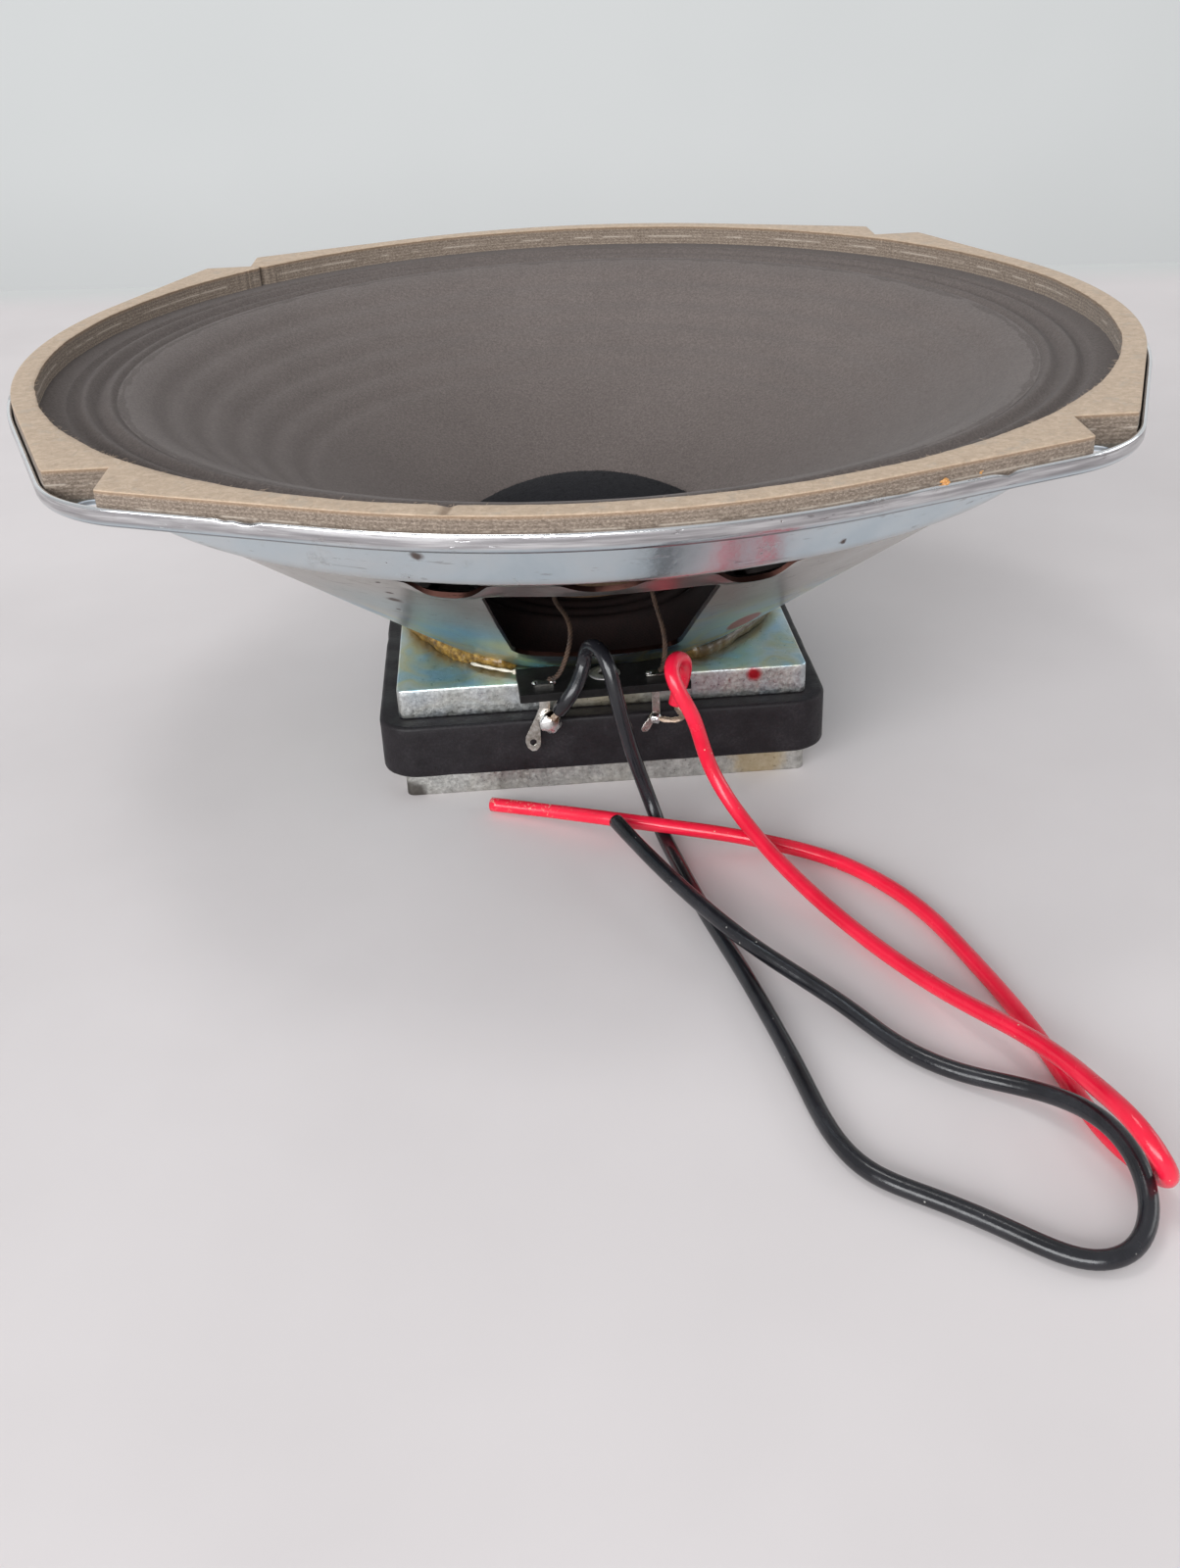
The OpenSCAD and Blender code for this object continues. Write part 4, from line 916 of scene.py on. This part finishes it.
def gasket():
    edge, _ = outline(GASKET_INSET)
    around = np.unwrap(np.arctan2(edge[:, 1], edge[:, 0]))
    offs = np.concatenate([np.linspace(-4.2, 4.2, 29), [-3.72, 3.72, 0.0001, -0.0001]])
    near_notches = [math.radians(45 + 90 * q) + math.radians(off) for q in range(4) for off in offs]
    angles = np.array(sorted(a % (2 * math.pi) for a in [*around, *near_notches]))
    order = np.argsort(around % (2 * math.pi))
    reach = np.interp(angles, (around % (2 * math.pi))[order], np.linalg.norm(edge, axis=1)[order],
                      period=2 * math.pi)
    c, s = np.cos(angles), np.sin(angles)
    out = np.minimum(NOTCH / np.minimum(np.abs(c), np.abs(s)).clip(1e-3), reach)
    n = len(angles)
    fur = np.random.default_rng(3).uniform(0, 0.16, n) + 0.12 * np.sin(angles * 31 + 1) * np.sin(angles * 7)
    hole = GASKET_BORE_R + fur.clip(0, 0.3) + 1.1 * np.exp(-((angles - TEAR) / 0.006) ** 2)
    wave = 0.05 * np.sin(angles * 5 + 1) + 0.04 * np.sin(angles * 11)
    low, high = SEAT_Z, GASKET_Z
    profile = []
    for z in np.linspace(low, high - 0.25, 7):
        layer = 0.08 * math.sin(z * 5.1) + 0.05 * math.sin(z * 11.3)
        profile.append((out - 0.06 + layer * 0.12 + wave * 0.3, z))
    profile += [(out - 0.1, high - 0.08), (out - 0.28, high - 0.02)]
    for t in (0.2, 0.4, 0.6, 0.8):
        profile.append((out + (hole - out) * t, high - 0.02 + 0.02 * np.sin(angles * 43 + t * 9)))
    profile += [(hole + 0.25, high - 0.02), (hole + 0.05, high - 0.12)]
    profile += [(hole + 0.1 + 0.02 * math.sin(z * 6.3), z) for z in np.linspace(high - 0.3, low, 6)]
    points = np.stack([np.stack([r * c, r * s, np.broadcast_to(z, (n,))], -1) for r, z in profile], 1)
    points[:, 8:16, 2] -= 0.35 * np.exp(-((angles - NICK) * GASKET_BORE_R / 0.9) ** 2)[:, None]
    make("gasket_fibre", grid(points), FIBRE, "frame", "gasket", sharp=50)


def gasket_fluff():
    """Loose fibres along the gasket's inner edge."""
    rng = np.random.default_rng(12)
    parts = []
    for _ in range(900):
        a = rng.uniform(0, 2 * math.pi)
        r = 96.35 + rng.uniform(0, 0.25)
        at = np.array([*(r * heading(a)), GASKET_Z - rng.uniform(0.0, 0.6)])
        size = rng.uniform(0.25, 0.95)
        way = np.array([*-heading(a), 0]) + rng.normal(0, 0.8, 3) * (1, 1, 0.4)
        way /= np.linalg.norm(way)
        curl = rng.normal(0, 0.25, 3) * (1, 1, 0.3)
        line = np.array([at, at + way * size * 0.5 + curl * size * 0.3, at + way * size + curl * size])
        line[:, 2] = np.minimum(line[:, 2], GASKET_Z + 0.05)
        parts.append(tube(line, [0.028, 0.022, 0.012], 4, caps=False))
    make("gasket_fluff", joined(parts), FIBRE, "frame")


gasket()
gasket_fluff()


# Magnet and plates
def block(w, corner_r, z0, z1, edge, bore, rough, seed):
    """A square block with round corners, eased edges and a bore, worn unevenly at its edges."""
    inner = (w / 2 - corner_r) * math.sqrt(2)
    plan = []
    for q in range(4):
        mid = math.radians(45 + 90 * q)
        plan += [inner * heading(mid) + corner_r * heading(mid - math.pi / 4 + math.pi / 2 * k / 12)
                 for k in range(13)]
        last = plan[-1]
        onward = inner * heading(mid + math.pi / 2) + corner_r * heading(mid + math.pi / 4)
        plan += [last + (onward - last) * k / 24 for k in range(1, 24)]
    flat = np.array(plan)

    def level(by, z):
        return np.column_stack([flat * ((w / 2 - by) / (w / 2)), np.full(len(flat), z)])

    ease = [(edge * (1 - math.sin(a)), edge * (1 - math.cos(a))) for a in (math.pi / 6, math.pi / 3, math.pi / 2)]
    middle = [level(edge, z0)] + [level(by, z0 + up) for by, up in ease]
    middle += [level(0, z0 + edge + (z1 - z0 - 2 * edge) * k / 6) for k in range(1, 6)]
    middle += [level(by, z1 - up) for by, up in reversed(ease)] + [level(edge, z1)]
    hole = np.column_stack([bore * flat / np.linalg.norm(flat, axis=1)[:, None], np.full(len(flat), z0)])
    below = [hole + (level(edge, z0) - hole) * t for t in (0.0, 0.25, 0.5, 0.75, 0.92)]
    above = [row * (1, 1, 0) + (0, 0, z1) for row in reversed(below)]
    points = np.stack(below + middle + above, 1)
    near_edge = np.zeros(points.shape[:2])
    near_edge[:, 4:4 + len(middle) + 2] = 0.3
    near_edge[:, 5:9] = near_edge[:, 13:17] = 1
    chip = np.clip(lumps(points, 5.5, seed + 4, 3) - 0.22, 0, 1)
    push = np.clip(rough * lumps(points, 2.6, seed, 3) * 0.35 + 3.0 * rough * chip * near_edge, 0, None)
    points[..., :2] -= points[..., :2] / np.linalg.norm(points[..., :2], axis=-1).clip(1)[..., None] * push[..., None]
    c, s = math.cos(MAGNET_TURN), math.sin(MAGNET_TURN)
    points[..., :2] = points[..., :2] @ np.array([[c, s], [-s, c]])
    return grid(points)


for name, shape, material, slot, node in (
        ("magnet_block", block(MAGNET_W, 6.5, BACK_Z, MAGNET_Z, 0.7, 18.0, 0.12, 2), FERRITE, "ferrite", "magnet"),
        ("top_plate_steel", block(PLATE_W, 1.2, MAGNET_Z, BASE_Z, 0.35, 14.05, 0.05, 5), PLATE, "plated_steel",
         "top_plate"),
        ("back_plate_steel", block(PLATE_W, 1.2, 0.0, BACK_Z, 0.35, 7.05, 0.05, 7), BACK_PLATE, "plated_steel",
         "back_plate")):
    make(name, shape, material, "frame", node, sharp=50)

# Pole piece, former and voice coil, wound close
POLE = [(0.05, 0.4), (6.6, 0.4), (7.0, 0.8), (7.0, BACK_Z), (12.2, BACK_Z), (12.2, 21.4), (11.6, BASE_Z),
        (0.05, BASE_Z)]
FORMER_WALL = [(12.7, 14.0), (12.95, 14.0), (12.95, 33.2), (12.7, 33.2)]
COIL_Z, COIL_L, COIL_TURNS = 14.1, 10, 26
coil = [(13.0, COIL_Z), (13.4, COIL_Z)]
for k in range(COIL_TURNS):
    for t in (-0.35, -0.15, 0.15, 0.35):
        coil.append((13.55 - 0.14 * (t / 0.35) ** 2, COIL_Z + COIL_L / COIL_TURNS * (k + 0.5 + t)))
coil += [(13.4, COIL_Z + COIL_L), (13.0, COIL_Z + COIL_L)]
make("pole_piece_steel", turned(POLE, order=-1), PLATE, "frame", "pole_piece", sharp=40)
make("coil_former_tube", turned(FORMER_WALL, order=-1), FORMER, "cone", "coil_former", sharp=40)
make("voice_coil_winding", turned(coil, 128, order=-1), COPPER, "cone", "voice_coil", sharp=40)


# The cone, its edge and the spider
def flex(obj):
    """Bakes the place of a ring between frame and cone into its mesh and finds each point's distance from the axis,
    but bends nothing.
    """
    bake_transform(obj)
    r = np.linalg.norm(places(obj.data)[:, :2], axis=1)


NECK_R, NECK_Z = 13.0, 32.0
SHOULDER_R, SHOULDER_Z, CONE_R = 77.5, 69.3, 83.5
CONE_SLOPE = (SHOULDER_Z - NECK_Z) / (SHOULDER_R - NECK_R)
CONE_HALF = 0.3 * math.sqrt(1 + CONE_SLOPE ** 2)
RIM_RUN = CONE_R - SHOULDER_R
RIM_SAG = (CONE_SLOPE * RIM_RUN - 2.5 + 0.5) / RIM_RUN ** 2
RINGS = [75.6 - 5.8 * i for i in range(5)]
RING_HALF_W, RING_DEPTH = 2.6, 0.4


def cone_z(r, pressed=True):
    """Height of the cone's middle layer, with its pressed rings or without."""
    z = NECK_Z + CONE_SLOPE * (r - NECK_R) - RIM_SAG * max(0.0, r - SHOULDER_R) ** 2
    for at in RINGS if pressed else ():
        t = min(1, abs(r - at) / RING_HALF_W)
        z -= RING_DEPTH * (1 + math.cos(math.pi * t)) / 2
    return z


def sheet(line, below, above):
    """A closed profile round a line of (r, z) points."""
    return [(r, z - below) for r, z in line] + [(r, z + above) for r, z in reversed(line)]


radii = np.concatenate([np.linspace(NECK_R, 50, 40), np.arange(50.25, CONE_R, 0.35), [CONE_R]])
make("cone_paper_shell", turned(sheet([(r, cone_z(r)) for r in radii], CONE_HALF, CONE_HALF), 320,
                                shakes=((9, 3, 3, 0.05), (1.6, 6, 2, 0.018))),
     CONE_PAPER, "cone", "cone", sharp=60)

# The edge: a border that laps on the cone, two rolls and a flat under the gasket
ROLLS_R, ROLL_PITCH, ROLL_H, ROLLS_Z, FLAT_Z = 83.7, 4.2, 0.6, 71.3, 72.1
line = [(r, cone_z(r) + rise) for r, rise in ((81.8, 0.02), (82.6, 0.08), (83.2, 0.04))]
for t in np.arange(97) / 96:
    line.append((ROLLS_R + 2 * ROLL_PITCH * t, ROLLS_Z + (FLAT_Z - ROLLS_Z) * t + ROLL_H * math.sin(4 * math.pi * t)))
line += [(r, FLAT_Z) for r in (ROLLS_R + 2 * ROLL_PITCH + 0.8, 95.0, 97.0, 99.0)]
edge = make("cone_edge_paper", turned(sheet(line, 0.3, 0.3), 320, shakes=((3.0, 9, 3, 0.035),)), EDGE_PAPER,
            sharp=60)
flex(edge)
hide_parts("cone_edge")

# The spider: a flat foot and three waves
WAVES_R, SPIDER_NECK_R, WAVE_Z, WAVE_H = 24.5, 13.25, 27.2, 0.6
line = [(31.0, 23.05), (27.0, 23.05)]
for t in np.arange(73) / 72:
    line.append((WAVES_R + (SPIDER_NECK_R + 0.5 - WAVES_R) * t, WAVE_Z + WAVE_H * math.sin(6 * math.pi * t)))
line = [np.array(p) for p in line + [(SPIDER_NECK_R, WAVE_Z), (SPIDER_NECK_R, WAVE_Z - 1.6)]]
spider = make("spider_cloth", turned(beside(line, 0.22) + beside(line, -0.22)[::-1], 128), CLOTH)
flex(spider)
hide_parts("spider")


def dust_cap():
    """A felt dome standing on the cone, and its fuzz."""
    sphere_r, cap_r, thick = 45.5, 24.3, 0.8
    rest = cone_z(0, False) + CONE_HALF + 0.05
    centre = rest + CONE_SLOPE * cap_r - math.sqrt(sphere_r ** 2 - cap_r ** 2)

    def foot(s):
        b, q = rest - centre, 1 + CONE_SLOPE ** 2
        return (math.sqrt((CONE_SLOPE * b) ** 2 - q * (b * b - s * s)) - CONE_SLOPE * b) / q

    def dome(s):
        low = math.acos(foot(s) / s)
        arc = [s * heading(low + (math.pi / 2 - low) * k / 40) + (0, centre) for k in range(40)]
        return arc + [np.array([0.02, centre + s])]

    make("dust_cap_felt", turned(dome(sphere_r) + dome(sphere_r - thick)[::-1], 160, shakes=((1.1, 4, 2, 0.05),)),
         FELT, "cone", "dust_cap", sharp=60)
    rng = np.random.default_rng(5)
    parts = []
    for _ in range(1400):
        r = cap_r * math.sqrt(rng.uniform(0, 1)) * 0.99
        a = rng.uniform(0, 2 * math.pi)
        at = np.array([*(r * heading(a)), centre + math.sqrt(sphere_r ** 2 - r * r) - 0.05])
        way = (at - (0, 0, centre)) / sphere_r
        lean = rng.normal(0, 1.0, 3)
        lean -= lean @ way * way
        size = rng.uniform(0.25, 0.7)
        line = np.array([at, at + way * size * 0.35 + lean * size * 0.25, at + way * size * 0.45 + lean * size * 0.6])
        parts.append(tube(line, [0.03, 0.025, 0.012], 3, caps=False))
    make("dust_cap_fuzz", joined(parts), FELT, "cone")


dust_cap()


def glue():
    """An uneven run of glue in the corner of basket and plate, open where the board stands."""
    open_half, turn = math.radians(26.7), math.radians(1.23)
    start, end = turn - math.pi / 2 + open_half, turn + 1.5 * math.pi - open_half
    rng = np.random.default_rng(9)
    rows = []
    for a in np.linspace(start, end, 420):
        h = 2.25 + 0.2 * (0.5 * math.sin(a * 9) + 0.3 * math.sin(a * 23 + 2))
        w = 36.75 + 0.35 * math.sin(a * 13 + 1) + 0.12 * math.sin(a * 37)
        grain = 0.08 * math.sin(a * 95) + rng.normal(0, 0.012)
        taper = math.sqrt(max(0.05, min(1.0, (a - start) / 0.05, (end - a) / 0.05)))
        section = []
        for t in np.arange(11) / 10:
            r = BASE_R + 0.05 + (w - BASE_R) * (1 - t) * taper + t * (h / SIDE_SLOPE) * taper
            bulge = math.sin(math.pi * t) * (0.55 + grain) * taper
            section.append((r + bulge * 0.75, BASE_Z + 0.02 + h * taper * t + bulge * 0.45))
        section.append((BASE_R - 0.1, BASE_Z + 0.02))
        rows.append([(*(r * heading(a)), z) for r, z in section])
    make("glue_bead_run", hose(rows, order=1), AMBER, "frame", "glue_bead", sharp=70)


glue()


# Tag board, rivet, tags and solder
def on_board(points):
    """From the board's own frame, which starts at the rivet, to the world's."""
    c, s = math.cos(BOARD_TURN), math.sin(BOARD_TURN)
    p = np.atleast_2d(np.asarray(points, float))
    return np.column_stack([RIVET[0] + p[:, 0] * c - p[:, 1] * s, RIVET[1] + p[:, 0] * s + p[:, 1] * c, p[:, 2]])


def boarded(shape):
    return on_board(shape[0]), shape[1]


def tag_board():
    """The board, its back edge keeping clear of the basket's side."""
    x0, x1, y0, y1, back_r = -15.6, 14.8, -5.9, 5.0, 37.2
    plan = [(x0 + (x1 - x0) * k / 40, y0) for k in range(41)]
    for k in range(41):
        x = x1 - (x1 - x0) * k / 40
        steps = [y1 - 0.15 * i for i in range(61)]
        clear = [y for y in steps[:-1] if np.hypot(*on_board((x, y, 0))[0, :2]) >= back_r]
        plan.append((x, clear[0] if clear else steps[-1]))
    shape = boarded(prism(plan, BOARD_Z, BOARD_TOP_Z))
    bevel(make("tag_board_sheet", shape, BOARD, "frame", "tag_board", sharp=40), 0.12)


tag_board()
z = BOARD_TOP_Z
eyelet = rounded([(1.0, 21.5), (2.2, 21.5), (2.5, 21.75), (2.3, 22.0), (1.6, 22.0), (1.6, z), (2.75, z),
                  (2.9, z + 0.15), (2.7, z + 0.35), (2.0, z + 0.48), (1.5, z + 0.5), (1.15, z + 0.3), (1.0, z - 0.2)],
                 0.08, 2)
make("tag_rivet_eyelet", turned(eyelet, 64, RIVET), RIVET_TIN, "frame", "tag_rivet", sharp=50)

LEFT_TAG_X, RIGHT_TAG_X, TAG_Y = -11.1, 8.9, -2.2
TAG_T = 0.5


def strip(rows):
    """A flat strip from rows of left edge, right edge and height."""
    near, far = TAG_Y - TAG_T / 2, TAG_Y + TAG_T / 2
    return hose([[(left, near, z), (right, near, z), (right, far, z), (left, far, z)] for left, right, z in rows])


def tag_head(x):
    plan = [(x + dx, TAG_Y + dy) for dx, dy in ((-1.7, -1), (1.7, -1), (1.7, 1), (-1.7, 1))]
    return prism(plan, BOARD_TOP_Z, BOARD_TOP_Z + 0.5)


def tags():
    x, head_z = LEFT_TAG_X, BOARD_TOP_Z + 0.3
    tip = BOARD_Z - 11.5
    fork = x - 2.5
    make("left_tag_head", boarded(tag_head(x)), TIN, "frame", sharp=40)
    rows = [(fork - 0.3, fork + 0.5, tip), (fork - 1.1, fork + 1.2, tip + 0.8), (fork - 1.4, fork + 1.4, tip + 1.9),
            (fork - 1.3, fork + 1.4, tip + 3.0), (fork - 0.7, fork + 1.4, tip + 4.2), (x - 1.9, x + 0.3, tip + 6.6),
            (x - 1.0, x + 0.9, tip + 8.6), (x - 1.0, x + 1.0, BOARD_Z - 0.6), (x - 1.5, x + 1.5, BOARD_Z - 0.1),
            (x - 1.5, x + 1.5, head_z)]
    left = make("left_tag_strip", boarded(strip(rows)), TIN, sharp=40)
    mesh = carve(left, boarded(tube(np.array([(fork, TAG_Y + k, tip + 1.8) for k in (-1, 0, 1)]), 0.6, 20)))
    mesh.set_sharp_from_angle(angle=math.radians(40))
    settle(left, "frame", "left_tag")
    bevel(left, 0.06)
    x = RIGHT_TAG_X
    bend = BOARD_Z - 6.4
    tip = bend - 3.2
    rows = [(x - 2.6, x - 1.7, tip), (x - 2.8, x - 1.2, tip + 0.6), (x - 2.2, x - 0.6, tip + 1.7),
            (x - 1.4, x + 0.3, bend - 0.6), (x - 0.8, x + 0.7, bend), (x - 0.7, x + 0.7, bend + 0.8),
            (x - 0.7, x + 0.7, BOARD_Z - 0.9), (x - 1.5, x + 1.5, BOARD_Z - 0.3), (x - 1.5, x + 1.5, head_z)]
    right = joined([strip(rows), tag_head(x)])
    bevel(make("right_tag_strip", boarded(right), TIN, "frame", "right_tag", sharp=40), 0.06)


tags()


def blob(name, at, r, squash, seed, material, node=None, lift=0.14, body="frame"):
    """A lumpy ball, for solder, cement and glue."""
    t = math.pi * np.arange(29)[:, None] / 28
    a = 2 * math.pi * np.arange(40) / 40
    v = np.stack([np.sin(t) * np.cos(a), np.sin(t) * np.sin(a), np.cos(t) + 0 * a], -1)
    swell = 1 - lift * np.clip(lumps(v * 10, 9, seed, 2) + 0.5, 0, 1)
    verts, faces = grid(v * (swell * r)[..., None] * np.array(squash) + np.array(at), closed=False)
    obj = make(name, (verts, faces[:, ::-1]), material, body, node)
    obj.modifiers.new("weld", "WELD").merge_threshold = 0.00001


left_at, right_at = on_board([(LEFT_TAG_X + 0.7, TAG_Y - 0.7, BOARD_Z - 5.6),
                              (RIGHT_TAG_X - 0.2, TAG_Y - 0.4, BOARD_Z - 6.9)])
blob("left_solder_blob", left_at, 2.3, (0.98, 0.85, 0.98), 2, SOLDER, "left_solder")
for number, x in enumerate((LEFT_TAG_X - 1.5, LEFT_TAG_X + 1.6, RIGHT_TAG_X - 1.2)):
    blob(f"tag_head_solder_{number + 1}", on_board((x, TAG_Y, BOARD_TOP_Z + 0.35))[0], 0.65, (1, 1, 0.7), number + 7,
         SOLDER)
blob("right_solder_blob", right_at, 1.2, (1, 0.8, 1), 5, SOLDER, "right_solder")
for side, x, y in (("left", -6.5, -34), ("right", 10, -34)):
    z = cone_z(math.hypot(x, y), False) - CONE_HALF - 0.45
    blob(f"{side}_lead_joint_cement", (x, y, z), 1.45, (1, 1, 0.5), 3, CEMENT, f"{side}_lead_joint",
         body="cone")

# Set glue on the bead's left front, its pale colour partly a painted highlight, and two glue crumbs on the lip
streak = np.array([(*(38.1 * heading(a)), 23.0) for a in np.radians(np.linspace(-127, -113, 12))])
make("glue_streak", tube(streak, 0.28 + 0.07 * np.sin(np.arange(12) * 1.7), 12), GLUE_AND_HIGHLIGHT, "frame")
blob("glue_drop", streak[-1], 0.55, (1, 1, 1), 11, GLUE_AND_HIGHLIGHT)
blob("lip_crumb_1", (46.6, -90.3, 74.4), 0.75, (1, 0.8, 0.8), 12, CRUMB, lift=0.5)
blob("lip_crumb_2", (52.2, -87.2, 74.4), 0.5, (1, 0.8, 0.8), 13, CRUMB, lift=0.5)

# The table, which ends behind the object and fades to the backdrop there, in metres
TABLE_BACK, TABLE_SLANT, TABLE_FADE, TABLE_X = 412, -0.127, 45, 3
table = Shader("stage_floor", 0.6, Specular_IOR_Level=0.3)
paint = table.colors(table.noise(60), (0.3, (0.695, 0.654, 0.653)), (0.7, (0.739, 0.696, 0.696)))
to_back = table.math("ADD", table.axis("Y"), table.times(table.axis("X"), -TABLE_SLANT))
fade = table.ramp(to_back, TABLE_BACK - TABLE_FADE, TABLE_BACK)
table.put("Base Color", table.mix(fade, paint, (0.66, 0.67, 0.66)))
backdrop = Shader("stage_wall", 0.9)
pale = backdrop.colors(backdrop.noise(400, 2), (0.3, (0.80, 0.81, 0.80)), (0.7, (0.82, 0.828, 0.818)))
backdrop.put("Base Color", pale)
far_right, far_left = (TABLE_BACK * MM + x * TABLE_SLANT for x in (TABLE_X, -TABLE_X))
for name, corners, material in (
        ("stage_floor", [(-TABLE_X, -2.5, 0), (TABLE_X, -2.5, 0), (TABLE_X, far_right, 0),
                         (-TABLE_X, far_left, 0)], table),
        ("stage_wall", [(-6, 2.6, -3), (6, 2.6, -3), (6, 2.6, 5), (-6, 2.6, 5)], backdrop)):
    mesh = bpy.data.meshes.new(name)
    mesh.from_pydata(corners, [], [(0, 1, 2, 3)])
    mesh.materials.append(material.material)
    stage = bpy.data.objects.new(name, mesh)
    bpy.context.collection.objects.link(stage)


# Light: a small lamp above, a large one low at the front left, a weak one at the right, and the sky
def lamp(name, at, height, size, power, color=(0.97, 0.985, 1.0)):
    """An area lamp that looks at the object, at that height over the table."""
    data = bpy.data.lights.new(name, "AREA")
    data.shape = "RECTANGLE"
    data.size, data.size_y = size
    data.energy = power
    data.color = color
    obj = bpy.data.objects.new(name, data)
    obj.location = at
    obj.rotation_euler = (Vector((0, 0, height)) - Vector(at)).to_track_quat("-Z", "Y").to_euler()
    bpy.context.collection.objects.link(obj)


lamp("lamp_key", (-0.3, 0.2, 1.3), 0.05, (0.35, 0.35), 2.0, (1, 1, 1))
lamp("lamp_front", (-1.2, -2.4, 1.0), 0.05, (3.2, 1.4), 104)
lamp("lamp_fill", (2.1, 0.3, 0.8), 0.03, (1.6, 1.0), 10)
world = bpy.data.worlds.new("world")
bpy.context.scene.world = world
world.use_nodes = True
sky = world.node_tree.nodes["Background"].inputs
sky["Color"].default_value = (0.965, 0.98, 1.0, 1)
sky["Strength"].default_value = 0.48
bpy.context.scene.view_settings.view_transform = "Standard"
